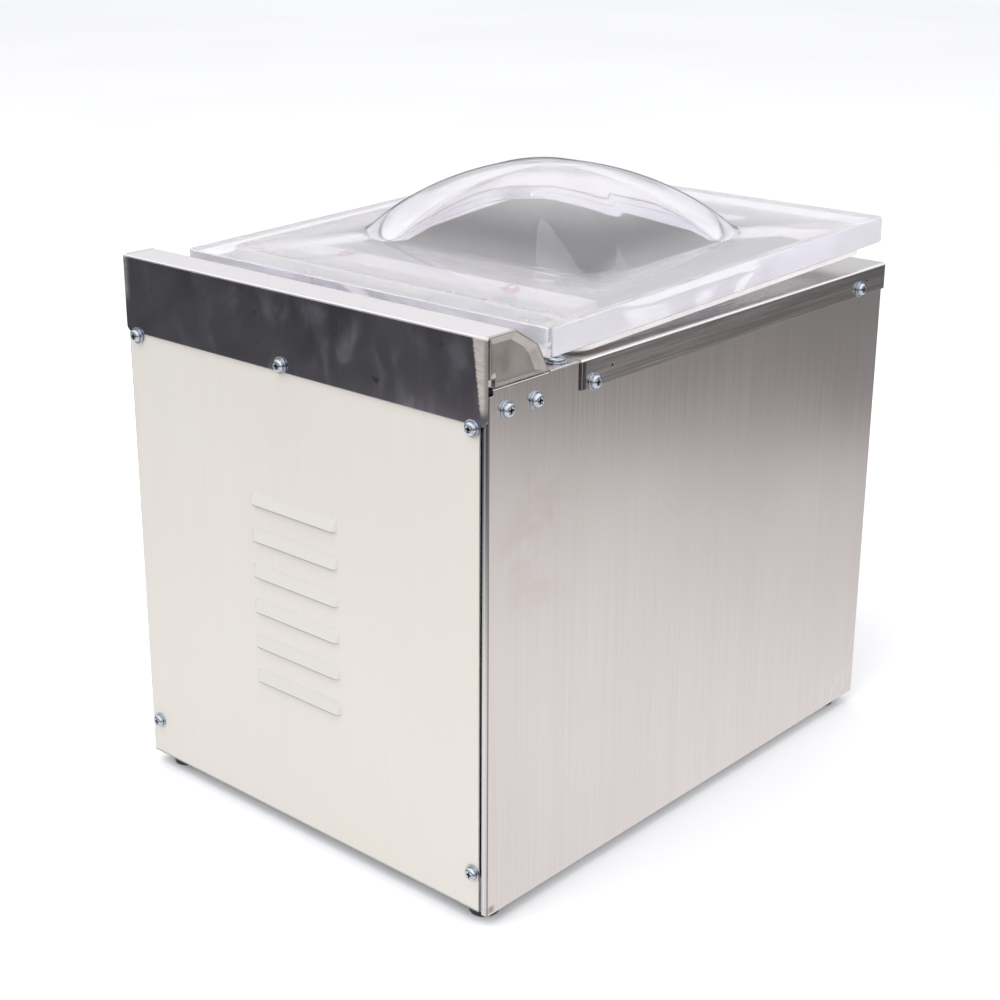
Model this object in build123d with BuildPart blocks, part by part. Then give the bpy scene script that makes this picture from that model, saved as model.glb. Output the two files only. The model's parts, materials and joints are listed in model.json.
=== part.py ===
"""Tabletop chamber vacuum packing machine, as an assembly of separate pieces.

Frame: millimetres, +Z up, Z = 0 on the table under the rubber feet, origin under the
middle of the machine.  The operator stands at -Y, the lid's hinge is at +Y.
Heights are counted from the lower edge of the side panels by up(), and distances
forward from the rear panel's outer face by back().
"""

from build123d import *
import os
from math import cos, radians, sin, sqrt

os.makedirs("parts", exist_ok=True)

# ---------------------------------------------------------------- driving dimensions
BODY_W = 330.0            # outside the side panels
BODY_D = 436.0            # rear panel face to front panel face
FOOT_H = 9.0              # gap under the side panels
PLATE_TOP = 346.0         # top plate above the side panels' lower edge
SHEET = 1.2               # stainless sheet of the casing
FRAME_SHEET = 1.5         # sheet of the tray and the corner posts
STOP_REACH = 24.0         # emergency stop head in front of the front panel

# hinge cover behind the lid
COVER_TOP = 376.0
COVER_BOTTOM = 323.0
COVER_DEPTH = 24.0        # flat top of the cover, forward of the rear panel
CHEEK_T = 3.0
CHEEK_RECESS = 2.0

# top plate, hinge deck and chamber
LIP_H = 19.0
DECK_FRONT = 81.5         # front edge of the hinge deck
PLATE_REAR = 83.0         # rear edge of the top plate
PLATE_REACH = 4.0         # top plate in front of the front panel
PLATE_CORNER_R = 3.0
CHAMBER_W = 280.0
CHAMBER_REAR = 105.0
CHAMBER_FRONT = 402.0
CHAMBER_FLOOR = 272.0
CHAMBER_R = 14.0

# lid, drawn in its own plane through the hinge axis
AXIS_FORWARD = 40.0
AXIS_UP = 355.0
LID_TILT = 1.5            # degrees that the lid stands open at rest
LID_W = 330.0
LID_L = 379.5
LID_T = 18.4
LID_REAR = -14.5          # rear edge, from the hinge axis
LID_UNDER = -2.85         # underside, from the hinge axis
LID_R = 5.0
GASKET_T = 5.9
GASKET_W = 10.0
DOME_W = 235.0
DOME_L = 194.0
DOME_H = 50.0
DOME_WALL = 8.0
DOME_CORNER = 47.0
HOLLOW_CORNER = 40.0
DOME_FROM_REAR = 198.0    # middle of the dome, from the lid's rear edge
ARC_RATIO = 1.2           # radius of the dome's arc over its half width

# sealing
PAD_FROM_REAR = 69.0      # middle of the upper pad, from the lid's rear edge
PAD_L = 272.0
PAD_HOLDER_W = 24.0
PAD_HOLDER_T = 7.0
PAD_W = 15.0
PAD_T = 5.0
BAR_L = 264.0
BAR_W = 14.0
BAR_H = 18.0
BAR_TOP = 327.0           # sealing bar at rest
PISTON_R = 6.0
PISTON_X = 90.0

# hinge
ROD_R = 4.0
RUNNING = 0.05            # radial clearance of a turning or sliding fit
KNUCKLE_R = 6.5
KNUCKLE_L = 26.0
ARM_X = 95.0              # middle of each hinge arm
LEVER_REACH = 19.5        # spring hole behind the axis
LEVER_RISE = 10.0         # spring hole above the axis
LEVER_T = 5.0
BLOCK_W = 12.0

# screws
WASHER_R = 5.6
WASHER_T = 1.0
HEAD_R = 4.3
HEAD_T = 2.8
HEAD_SIDE = 0.35          # share of the head's height that is straight
CROWN_SHARE = 0.45        # flat of the head's crown over its rim
SHANK_R = 2.4
HOLE_GAP = 0.25           # clearance of a screw in its hole
RECESS_L = 4.8
RECESS_W = 1.2
RECESS_SHARE = 0.72       # depth of the cross recess over the head's height
DECK_HEAD_SHARE = 0.5     # height of a deck screw's head over a casing screw's
DECK_SCREW_SCALE = 1.3
THROUGH = 12.0            # depth of a cut that passes a few sheets
CUT_OVER = 5.0            # how far a cut runs on into free space
FIT = 0.2                 # gap between flat neighbours that are slid together
COUNTERSINK_R = 4.6
COUNTERSINK_H = 2.2
SINK_GAP = 0.15           # clearance round a countersunk head

# ---------------------------------------------------------------- derived places
COVER_PROUD = SHEET
REAR_REACH = COVER_PROUD + WASHER_T + HEAD_T
REAR_Y = (BODY_D + STOP_REACH - REAR_REACH) / 2
HALF_W = BODY_W / 2
INNER_W = BODY_W - 2 * SHEET
PLATE_UNDER = PLATE_TOP - SHEET
CHAMBER_L = CHAMBER_FRONT - CHAMBER_REAR
CHAMBER_MID = (CHAMBER_FRONT + CHAMBER_REAR) / 2


def back(forward):
    """Row Y of a place that is so far forward of the rear panel's face."""
    return REAR_Y - forward


def up(height):
    """Row Z of a height above the side panels' lower edge."""
    return FOOT_H + height


def level(height):
    """Horizontal plane at a height, looking up."""
    return Plane.XY.offset(up(height))


def wall(forward):
    """Upright plane across the machine, looking to the front: local (x, z)."""
    return Plane.XZ.offset(-back(forward))


def side(x):
    """Upright plane along the machine, looking to +X: local (y, z)."""
    return Plane.YZ.offset(x)


LID = Plane(
    origin=(0, back(AXIS_FORWARD), up(AXIS_UP)),
    x_dir=(1, 0, 0),
    z_dir=(0, sin(radians(LID_TILT)), cos(radians(LID_TILT))),
)


def lid_side(x):
    """Plane square to the hinge axis, in the lid's own tilt: local (y, z)."""
    return Plane(origin=LID.from_local_coords((x, 0, 0)), x_dir=LID.y_dir, z_dir=LID.x_dir)


# ---------------------------------------------------------------- shared shapes
def pan_screw(face, length, scale=1.0, head_t=HEAD_T):
    """Add a washer, a rounded cross-recess head and a shank to the part being built."""
    rim = HEAD_R * scale
    head_top = WASHER_T + head_t
    shoulder_low = WASHER_T + head_t * HEAD_SIDE
    disc(face, WASHER_R * scale, WASHER_T)
    section = Plane(origin=face.origin, x_dir=face.x_dir, z_dir=-face.y_dir)
    with BuildSketch(section) as head:
        with BuildLine():
            foot = Polyline([(0, head_top), (0, WASHER_T), (rim, WASHER_T), (rim, shoulder_low)])
            shoulder = TangentArc(foot @ 1, (rim * CROWN_SHARE, head_top), tangent=(0, 1))
            Line(shoulder @ 1, foot @ 0)
        make_face()
    revolve(head.sketch, axis=Axis(face.origin, face.z_dir))
    disc(face, SHANK_R, -length)
    with BuildSketch(face.offset(head_top)) as recess:
        Rectangle(RECESS_L * scale, RECESS_W * scale)
        Rectangle(RECESS_W * scale, RECESS_L * scale)
    extrude(recess.sketch, amount=-head_t * RECESS_SHARE, mode=Mode.SUBTRACT)


def screw_hole(face, depth=THROUGH, radius=SHANK_R + HOLE_GAP):
    """Cut a round clearance hole both ways from a plane."""
    with BuildSketch(face) as hole:
        Circle(radius)
    extrude(hole.sketch, amount=depth, both=True, mode=Mode.SUBTRACT)


def cross_hole(radius, both_sides_spots):
    """Cut the same round holes through the left and the right side faces."""
    for hand in (-1, 1):
        for forward, height in both_sides_spots:
            screw_hole(outward(hand * HALF_W, forward, height), radius=radius)


def upright(x, forward, height):
    """Plane on the rear face at one place, looking backwards."""
    return Plane(origin=(x, back(forward), up(height)), x_dir=(-1, 0, 0), z_dir=(0, 1, 0))


def outward(x, forward, height):
    """Plane on a side face at one place, looking away from the machine."""
    hand = 1 if x > 0 else -1
    return Plane(origin=(x, back(forward), up(height)), x_dir=(0, hand, 0), z_dir=(hand, 0, 0))


def disc(face, radius, thickness, mode=Mode.ADD):
    """Add or cut a round disc on a plane."""
    with BuildSketch(face) as outline:
        Circle(radius)
    extrude(outline.sketch, amount=thickness, mode=mode)


def front_at(x, forward, height):
    """Plane on the front face at one place, looking to the operator."""
    return Plane(origin=(x, back(forward), up(height)), x_dir=(1, 0, 0), z_dir=(0, -1, 0))


def lid_spot(x, y, z):
    """Plane at a place in the lid's frame, looking up through the lid."""
    return Plane(origin=LID.from_local_coords((x, y, z)), x_dir=LID.x_dir, z_dir=LID.z_dir)


def sunk_screw(face, length, grow=0.0, mode=Mode.ADD):
    """Add or cut a countersunk screw whose flat head lies on a plane."""
    with BuildSketch(face) as head:
        Circle(COUNTERSINK_R + grow)
    with BuildSketch(face.offset(COUNTERSINK_H)) as neck:
        Circle(SHANK_R + grow)
    loft([head.sketch, neck.sketch], mode=mode)
    disc(face.offset(COUNTERSINK_H), SHANK_R + grow, length - COUNTERSINK_H, mode=mode)


# places of the casing's screws
COVER_SCREWS = [(154.0, 321.0), (9.0, 327.5), (-154.0, 321.0)]
LOWER_SCREWS = [(-153.5, 27.5), (156.0, 27.5)]
PANEL_SCREWS = [(16.0, 330.5), (42.0, 330.5)]
LIP_SCREWS = [(95.0, 330.5), (403.0, 332.5)]
LIP_HOLES = [(113.0, 337.0), (413.0, 337.0)]
LIP_HOLE_R = 1.2
DECK_SCREW_X = 156.0
DECK_SCREW_FORWARD = 71.0
LOUVRE_X = 3.0
LOUVRE_W = 82.0
LOUVRE_H = 10.0
LOUVRE_OUT = 2.6
LOUVRE_PITCH = 25.7
LOUVRE_LOW = 96.8
LOUVRE_COUNT = 6
LOUVRE_RUN = 3.0          # sloping end of each louvre
LOUVRE_FOOT = 0.5         # from the louvre's lower edge to its pocket
LOUVRE_SHEET = 1.0        # sheet left over the pocket
LOUVRE_MOUTH = 3.0        # height of the slot that opens downward
CREST_H = 1.2             # upright front of a louvre, at its lower lip
POCKET_H = 8.0            # hollow behind a louvre, at the panel's inner face
POCKET_END_H = 1.4
REAR_GAP_LEFT = 6.7       # from the left side's face to the rear panel's edge
REAR_RETURN = 4.6         # fold of the left side panel beside that edge
REAR_EDGE_GAP = 1.0       # above and below the rear panel
PANEL_TOP = PLATE_UNDER
FLANGE = 14.0
FOLD_R = 2.0
EDGE_R = 0.9

# ---------------------------------------------------------------- base tray, feet, posts
TRAY_UP = 1.0
TRAY_WALL = 26.0
VENT_X = -70.0
VENT_L = 70.0
VENT_W = 5.0
VENT_PITCH = 12.0
VENT_COUNT = 12
FOOT_INSET = 17.0
FOOT_R = 11.0
FOOT_TAPER = 1.5
POST_W = 16.0
POST_TOP = PLATE_UNDER - SHEET

with BuildPart() as base_tray:
    tray_w = INNER_W - 2 * FIT
    tray_d = BODY_D - 2 * SHEET - 2 * FIT
    with BuildSketch(level(TRAY_UP)):
        with Locations((0, back(BODY_D / 2))):
            Rectangle(tray_w, tray_d)
    extrude(amount=TRAY_WALL)
    with BuildSketch(level(TRAY_UP + FRAME_SHEET)):
        with Locations((0, back(BODY_D / 2))):
            Rectangle(tray_w - 2 * FRAME_SHEET, tray_d - 2 * FRAME_SHEET)
    extrude(amount=TRAY_WALL, mode=Mode.SUBTRACT)
    with BuildSketch(level(TRAY_UP)):
        with Locations((VENT_X, back(BODY_D / 2))):
            with GridLocations(0, VENT_PITCH, 1, VENT_COUNT):
                SlotOverall(VENT_L, VENT_W)
    extrude(amount=FRAME_SHEET, mode=Mode.SUBTRACT)
    for x, height in LOWER_SCREWS:
        screw_hole(upright(x, 0, height))
base_tray.part.label = "base_tray"
export_step(base_tray.part, "parts/base_tray.step")

with BuildPart() as feet:
    foot_x = HALF_W - FOOT_INSET
    for x in (-foot_x, foot_x):
        for forward in (FOOT_INSET, BODY_D - FOOT_INSET):
            with BuildSketch(Plane.XY):
                with Locations((x, back(forward))):
                    Circle(FOOT_R - FOOT_TAPER)
            with BuildSketch(level(TRAY_UP)):
                with Locations((x, back(forward))):
                    Circle(FOOT_R)
            loft()
feet.part.label = "feet"
export_step(feet.part, "parts/feet.step")

with BuildPart() as corner_posts:
    post_x = tray_w / 2 - FRAME_SHEET
    post_inset = SHEET + FIT + FRAME_SHEET
    for hand in (-1, 1):
        for forward, turn in ((post_inset, -1), (BODY_D - post_inset, 1)):
            corner_y = back(forward)
            with BuildSketch(level(TRAY_UP + FRAME_SHEET)):
                with Locations((hand * (post_x - POST_W / 2), corner_y + turn * FRAME_SHEET / 2)):
                    Rectangle(POST_W, FRAME_SHEET)
                with Locations((hand * (post_x - FRAME_SHEET / 2), corner_y + turn * POST_W / 2)):
                    Rectangle(FRAME_SHEET, POST_W)
            extrude(amount=POST_TOP - TRAY_UP - FRAME_SHEET)
    for x, height in LOWER_SCREWS + COVER_SCREWS:
        screw_hole(upright(x, 0, height))
    cross_hole(SHANK_R + HOLE_GAP, PANEL_SCREWS + LIP_SCREWS)
corner_posts.part.label = "corner_posts"
export_step(corner_posts.part, "parts/corner_posts.step")

# ---------------------------------------------------------------- rear panel with louvres
with BuildPart() as rear_panel:
    panel_right = HALF_W - SHEET - FIT
    panel_left = REAR_GAP_LEFT - HALF_W
    with BuildSketch(wall(0)):
        with Locations(((panel_left + panel_right) / 2, up(PANEL_TOP / 2))):
            Rectangle(panel_right - panel_left, PANEL_TOP - 2 * REAR_EDGE_GAP)
    extrude(amount=SHEET)
    for louvre in range(LOUVRE_COUNT):
        slot_height = LOUVRE_LOW + louvre * LOUVRE_PITCH
        crest_w = LOUVRE_W - 2 * LOUVRE_RUN
        with BuildSketch(wall(0)):
            with Locations((LOUVRE_X, up(slot_height + LOUVRE_H / 2))):
                RectangleRounded(LOUVRE_W, LOUVRE_H, LOUVRE_RUN)
        with BuildSketch(wall(-LOUVRE_OUT)):
            with Locations((LOUVRE_X, up(slot_height + CREST_H / 2 + LOUVRE_FOOT))):
                RectangleRounded(crest_w, CREST_H, CREST_H / 2 - FIT)
        loft()
        with BuildSketch(wall(SHEET)):
            with Locations((LOUVRE_X, up(slot_height + POCKET_H / 2 + LOUVRE_FOOT))):
                RectangleRounded(crest_w, POCKET_H, LOUVRE_RUN)
        with BuildSketch(wall(LOUVRE_SHEET - LOUVRE_OUT)):
            with Locations((LOUVRE_X, up(slot_height + POCKET_END_H / 2 + LOUVRE_FOOT))):
                RectangleRounded(crest_w - 2 * LOUVRE_RUN, POCKET_END_H, POCKET_END_H / 2 - FIT)
        loft(mode=Mode.SUBTRACT)
        with BuildSketch(level(slot_height - LOUVRE_FOOT)):
            with Locations((LOUVRE_X, back((LOUVRE_SHEET - LOUVRE_OUT) / 2))):
                Rectangle(LOUVRE_W - 3 * LOUVRE_RUN, LOUVRE_OUT - LOUVRE_SHEET - FIT)
        extrude(amount=LOUVRE_MOUTH, mode=Mode.SUBTRACT)
    for x, height in LOWER_SCREWS + COVER_SCREWS:
        screw_hole(upright(x, 0, height))
rear_panel.part.label = "rear_panel"
export_step(rear_panel.part, "parts/rear_panel.step")


# ---------------------------------------------------------------- side panels
NOTCH_L = 6.0             # corner cut out under the cover's end
NOTCH_H = 4.5


def side_panel(hand):
    """Build one side panel: a sheet with a folded top flange, and a rear fold on the left one."""
    outer = hand * HALF_W
    inner = outer - hand * SHEET
    with BuildPart() as panel:
        with BuildSketch(side(min(outer, inner))):
            with Locations((back((BODY_D + 2 * FIT) / 2), up(PANEL_TOP / 2))):
                Rectangle(BODY_D - 2 * FIT, PANEL_TOP)
        extrude(amount=SHEET)
        with BuildSketch(level(PANEL_TOP)):
            with Locations((outer - hand * FLANGE / 2, back(BODY_D / 2))):
                Rectangle(FLANGE, BODY_D - FLANGE)
        extrude(amount=-SHEET)
        if hand < 0:
            fold_t = SHEET - 2 * FIT
            with BuildSketch(level(0)):
                with Locations((outer + REAR_RETURN / 2, back(2 * FIT + fold_t / 2))):
                    Rectangle(REAR_RETURN, fold_t)
            extrude(amount=PANEL_TOP)
        outer_edges = panel.edges().group_by(Axis.X)[-1 if hand > 0 else 0]
        fillet(outer_edges.filter_by(Axis.Y).sort_by(Axis.Z)[-1], EDGE_R)
        rear_edges = panel.edges().filter_by(Axis.Z).group_by(Axis.Y)[-1]
        fillet(rear_edges.sort_by(Axis.X)[-1 if hand > 0 else 0], EDGE_R)
        for forward, height in PANEL_SCREWS + LIP_SCREWS:
            screw_hole(outward(outer, forward, height))
        for forward, height in LIP_HOLES:
            screw_hole(outward(outer, forward, height), radius=LIP_HOLE_R)
        with BuildSketch(side(outer)):
            with Locations((back(NOTCH_L / 4), up(PANEL_TOP - NOTCH_H / 3))):
                Rectangle(NOTCH_L, NOTCH_H)
        extrude(amount=THROUGH, both=True, mode=Mode.SUBTRACT)
    return panel


left_panel = side_panel(-1)
left_panel.part.label = "left_panel"
export_step(left_panel.part, "parts/left_panel.step")

INLET_FORWARD = 62.0
INLET_UP = 62.0
INLET_CUT_L = 28.0
INLET_CUT_H = 20.4

right_panel_blank = side_panel(1)
with BuildPart() as right_panel:
    add(right_panel_blank.part)
    with BuildSketch(side(HALF_W)):
        with Locations((back(INLET_FORWARD), up(INLET_UP))):
            Rectangle(INLET_CUT_L, INLET_CUT_H)
    extrude(amount=THROUGH, both=True, mode=Mode.SUBTRACT)
right_panel.part.label = "right_panel"
export_step(right_panel.part, "parts/right_panel.step")

# ---------------------------------------------------------------- front panel and its cut-outs
CONTROL_UP = 262.0
CONTROL_H = 104.0
CONTROL_W = 296.0
CONTROL_T = 1.5
GAUGE_X = -100.0
GAUGE_R = 30.0
GAUGE_CASE_R = 23.5
GAUGE_HOLE_GAP = 0.3
WINDOW_X = -10.0
WINDOW_UP = 282.0
WINDOW_W = 72.0
WINDOW_H = 26.0
WINDOW_SEAT = 2.0         # edge of the front panel that the window lies on
BUTTON_UP = 240.0
BUTTON_X = {"set_button": -36.0, "minus_button": -10.0, "plus_button": 16.0}
BUTTON_R = 6.0
BUTTON_GAP = 0.4
KNOB_X = 66.0
KNOB_HOLE_R = 6.0
STOP_X = 120.0
STOP_BODY_R = 11.0
CONTROL_CORNER_R = 6.0
CONTROL_CHAMFER = 0.5
STOP_COLLAR_R = 14.0
ROCKER_X = 112.0
ROCKER_UP = 168.0
ROCKER_W = 27.0
ROCKER_H = 19.0
LIP_CLEAR = 2.0


def cut_front_holes():
    """Cut the holes for every round control through a plate on the front."""
    screw_hole(front_at(GAUGE_X, BODY_D, CONTROL_UP), radius=GAUGE_CASE_R + GAUGE_HOLE_GAP)
    screw_hole(front_at(KNOB_X, BODY_D, CONTROL_UP), radius=KNOB_HOLE_R)
    screw_hole(front_at(STOP_X, BODY_D, CONTROL_UP), radius=STOP_BODY_R + GAUGE_HOLE_GAP)
    for x in BUTTON_X.values():
        screw_hole(front_at(x, BODY_D, BUTTON_UP), radius=BUTTON_R + BUTTON_GAP)


with BuildPart() as front_panel:
    front_h = PLATE_TOP - LIP_H - LIP_CLEAR
    with BuildSketch(wall(BODY_D - SHEET)):
        with Locations((0, up(front_h / 2))):
            Rectangle(INNER_W - 3 * FIT, front_h)
    extrude(amount=SHEET)
    with BuildSketch(level(front_h)):
        with Locations((0, back(BODY_D - FLANGE / 2))):
            Rectangle(INNER_W - 3 * FLANGE, FLANGE)
    extrude(amount=-SHEET)
    top_edges = front_panel.edges().filter_by(Axis.X).group_by(Axis.Z)[-1]
    fillet(top_edges.sort_by(Axis.Y)[0], EDGE_R)
    cut_front_holes()
    with BuildSketch(wall(BODY_D)):
        with Locations((WINDOW_X, up(WINDOW_UP))):
            Rectangle(WINDOW_W - 2 * WINDOW_SEAT, WINDOW_H - 2 * WINDOW_SEAT)
        with Locations((ROCKER_X, up(ROCKER_UP))):
            Rectangle(ROCKER_W, ROCKER_H)
    extrude(amount=THROUGH, both=True, mode=Mode.SUBTRACT)
front_panel.part.label = "front_panel"
export_step(front_panel.part, "parts/front_panel.step")

with BuildPart() as control_plate:
    with BuildSketch(wall(BODY_D)):
        with Locations((0, up(CONTROL_UP))):
            RectangleRounded(CONTROL_W, CONTROL_H, CONTROL_CORNER_R)
    extrude(amount=CONTROL_T)
    chamfer(control_plate.faces().sort_by(Axis.Y)[0].edges(), CONTROL_CHAMFER)
    cut_front_holes()
    with BuildSketch(wall(BODY_D)):
        with Locations((WINDOW_X, up(WINDOW_UP))):
            Rectangle(WINDOW_W, WINDOW_H)
    extrude(amount=THROUGH, both=True, mode=Mode.SUBTRACT)
control_plate.part.label = "control_plate"
export_step(control_plate.part, "parts/control_plate.step")

# ---------------------------------------------------------------- hinge cover
CHEEK = [
    (1.4, 376.0), (24.0, 376.0), (43.5, 364.0), (53.5, 345.9),
    (6.0, 345.9), (6.0, 351.0), (1.4, 351.0),
]
CHEEK_OPEN = [
    (2.2, 375.0), (23.7, 375.0), (37.0, 366.9), (42.8, 363.4),
    (52.0, 346.7), (6.8, 346.7), (6.8, 351.8), (2.2, 351.8),
]
CHEEK_FLOOR = [
    (5.2, 371.0), (21.5, 371.0), (33.5, 363.9), (37.9, 358.6),
    (44.0, 346.8), (8.6, 346.8), (8.6, 353.4), (5.2, 353.4),
]
COVER_CORNER_R = 4.0


def cheek_outline(plane, points):
    """Draw one of the cheek's outlines on a side plane from (forward, height) points."""
    with BuildSketch(plane) as outline:
        with BuildLine():
            Polyline([(back(forward), up(height)) for forward, height in points], close=True)
        make_face()
    return outline.sketch


with BuildPart() as hinge_cover:
    with BuildSketch(wall(-COVER_PROUD)):
        with Locations((0, up((COVER_TOP + COVER_BOTTOM) / 2))):
            Rectangle(BODY_W, COVER_TOP - COVER_BOTTOM)
    extrude(amount=SHEET)
    low_corners = hinge_cover.edges().filter_by(Axis.Y).group_by(Axis.Z)[0]
    fillet(low_corners, COVER_CORNER_R)
    with BuildSketch(level(COVER_TOP)):
        with Locations((0, back((COVER_DEPTH - COVER_PROUD) / 2))):
            Rectangle(BODY_W, COVER_DEPTH + COVER_PROUD)
    extrude(amount=-SHEET)
    for hand in (-1, 1):
        outer = hand * HALF_W
        extrude(cheek_outline(side(outer), CHEEK), amount=-hand * CHEEK_T)
        mouth = cheek_outline(side(outer), CHEEK_OPEN)
        floor = cheek_outline(side(outer - hand * CHEEK_RECESS), CHEEK_FLOOR)
        loft([mouth, floor], mode=Mode.SUBTRACT)
    long_edges = hinge_cover.edges().filter_by(Axis.X).filter_by(lambda e: e.length > BODY_W - 1)
    fillet(long_edges.group_by(Axis.Z)[-1].sort_by(Axis.Y)[-1], EDGE_R)
    for x, height in COVER_SCREWS:
        screw_hole(upright(x, 0, height))
hinge_cover.part.label = "hinge_cover"
export_step(hinge_cover.part, "parts/hinge_cover.step")

# ---------------------------------------------------------------- hinge deck
SLOT_W = LEVER_T + 9
SLOT_REAR = 8.0
SLOT_FRONT = 52.0
DECK_REAR = 2.0
DECK_HALF = HALF_W - CHEEK_T - 2 * FIT
TAB_REAR = 54.5           # where the deck widens, just in front of the cheeks
TAB_OVERHANG = 0.85       # deck beyond the side panels there
TAB_ROOT = 3.65           # and from the side panel's face inward

with BuildPart() as hinge_deck:
    tab_x = HALF_W + (TAB_OVERHANG - TAB_ROOT) / 2
    with BuildSketch(level(PLATE_UNDER)):
        with Locations((0, back((DECK_FRONT + DECK_REAR) / 2))):
            Rectangle(2 * DECK_HALF, DECK_FRONT - DECK_REAR)
        for hand in (-1, 1):
            with Locations((hand * ARM_X, back((SLOT_REAR + SLOT_FRONT) / 2))):
                Rectangle(SLOT_W, SLOT_FRONT - SLOT_REAR, mode=Mode.SUBTRACT)
            with Locations((hand * tab_x, back((TAB_REAR + DECK_FRONT) / 2))):
                Rectangle(TAB_OVERHANG + TAB_ROOT, DECK_FRONT - TAB_REAR)
            with Locations((hand * DECK_SCREW_X, back(DECK_SCREW_FORWARD))):
                Circle(SHANK_R + HOLE_GAP, mode=Mode.SUBTRACT)
    extrude(amount=SHEET)
    outer_tabs = hinge_deck.edges().filter_by(Axis.Y).filter_by(lambda e: abs(e.center().X) > HALF_W)
    fillet(outer_tabs.filter_by(lambda e: e.center().Z > up(PLATE_TOP - FIT)), EDGE_R)
hinge_deck.part.label = "hinge_deck"
export_step(hinge_deck.part, "parts/hinge_deck.step")

# ---------------------------------------------------------------- top plate
with BuildPart() as top_plate:
    plate_front = BODY_D + PLATE_REACH
    plate_w = BODY_W + 2 * SHEET
    with BuildSketch(level(PLATE_TOP - LIP_H)):
        with Locations((0, back((PLATE_REAR + plate_front) / 2))):
            Rectangle(plate_w, plate_front - PLATE_REAR)
    extrude(amount=LIP_H)
    corner_edges = top_plate.edges().filter_by(Axis.Z).group_by(Axis.Y)[0]
    fillet(corner_edges, PLATE_CORNER_R)
    fold = top_plate.faces().sort_by(Axis.Z)[-1].edges()
    rear_y = back(PLATE_REAR)
    fillet(fold.filter_by(lambda e: abs(e.center().Y - rear_y) > FIT), FOLD_R)
    with BuildSketch(level(PLATE_TOP - LIP_H)):
        with Locations((0, back((PLATE_REAR + plate_front - SHEET) / 2))):
            Rectangle(BODY_W, plate_front - PLATE_REAR - SHEET)
    extrude(amount=LIP_H - SHEET, mode=Mode.SUBTRACT)
    with BuildSketch(level(PLATE_TOP)):
        with Locations((0, back(CHAMBER_MID))):
            RectangleRounded(CHAMBER_W, CHAMBER_L, CHAMBER_R)
    extrude(amount=-SHEET, mode=Mode.SUBTRACT)
    cross_hole(SHANK_R + HOLE_GAP, LIP_SCREWS)
    cross_hole(LIP_HOLE_R, LIP_HOLES)
top_plate.part.label = "top_plate"
export_step(top_plate.part, "parts/top_plate.step")

# ---------------------------------------------------------------- chamber tub
TUB_MARGIN = 1.0
TUB_FLANGE = 8.0
TUB_FLOOR_R = 6.0
PORT_X = 104.0
PORT_FORWARD = 372.0
PORT_R = 9.0
PORT_FLANGE_R = 15.0
PORT_FLANGE_T = 2.0
PORT_CAP_R = 12.0
PORT_CAP_T = 5.0
PORT_CAP_EDGE = 2.0
PORT_SPIGOT = 26.0
PORT_BORE_R = 6.0
PORT_SLOTS = 6
PORT_SLOT_W = 2.0
CYLINDER_R = 11.0

with BuildPart() as chamber_tub:
    tub_w = CHAMBER_W + 2 * TUB_MARGIN + 2 * SHEET
    tub_l = CHAMBER_L + 2 * TUB_MARGIN + 2 * SHEET
    tub_r = CHAMBER_R + TUB_MARGIN + SHEET
    with BuildSketch(level(CHAMBER_FLOOR - SHEET)):
        with Locations((0, back(CHAMBER_MID))):
            RectangleRounded(tub_w, tub_l, tub_r)
    extrude(amount=PLATE_UNDER - CHAMBER_FLOOR + SHEET)
    fillet(chamber_tub.faces().sort_by(Axis.Z)[0].edges(), TUB_FLOOR_R)
    offset(amount=-SHEET, openings=chamber_tub.faces().sort_by(Axis.Z)[-1])
    with BuildSketch(level(PLATE_UNDER - SHEET)):
        with Locations((0, back(CHAMBER_MID))):
            RectangleRounded(tub_w + 2 * TUB_FLANGE, tub_l + 2 * TUB_FLANGE, tub_r + TUB_FLANGE)
            RectangleRounded(tub_w - 2 * SHEET, tub_l - 2 * SHEET, tub_r - SHEET, mode=Mode.SUBTRACT)
    extrude(amount=SHEET)
    with BuildSketch(level(CHAMBER_FLOOR)):
        with Locations((PORT_X, back(PORT_FORWARD))):
            Circle(PORT_R)
        pad_forward = AXIS_FORWARD - LID_REAR + PAD_FROM_REAR
        with Locations((-PISTON_X, back(pad_forward)), (PISTON_X, back(pad_forward))):
            Circle(CYLINDER_R + HOLE_GAP)
    extrude(amount=CUT_OVER, both=True, mode=Mode.SUBTRACT)
chamber_tub.part.label = "chamber_tub"
export_step(chamber_tub.part, "parts/chamber_tub.step")

with BuildPart() as suction_port:
    port_plane = Plane(origin=(PORT_X, back(PORT_FORWARD), up(CHAMBER_FLOOR)), z_dir=(0, 0, 1))
    disc(port_plane, PORT_FLANGE_R, PORT_FLANGE_T)
    disc(port_plane.offset(PORT_FLANGE_T), PORT_CAP_R, PORT_CAP_T)
    fillet(suction_port.faces().sort_by(Axis.Z)[-1].edges(), PORT_CAP_EDGE)
    disc(port_plane, PORT_R - FIT, -PORT_SPIGOT)
    bore_top = 2 * PORT_FLANGE_T
    disc(port_plane.offset(bore_top), PORT_BORE_R, -bore_top - PORT_SPIGOT, mode=Mode.SUBTRACT)
    with BuildSketch(port_plane.offset(bore_top)):
        with PolarLocations(PORT_CAP_R, PORT_SLOTS):
            Rectangle(PORT_CAP_R, PORT_SLOT_W)
    extrude(amount=PORT_SLOT_W, mode=Mode.SUBTRACT)
suction_port.part.label = "suction_port"
export_step(suction_port.part, "parts/suction_port.step")

# ---------------------------------------------------------------- casing and deck screws
SCREW_L = 6.8

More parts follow.
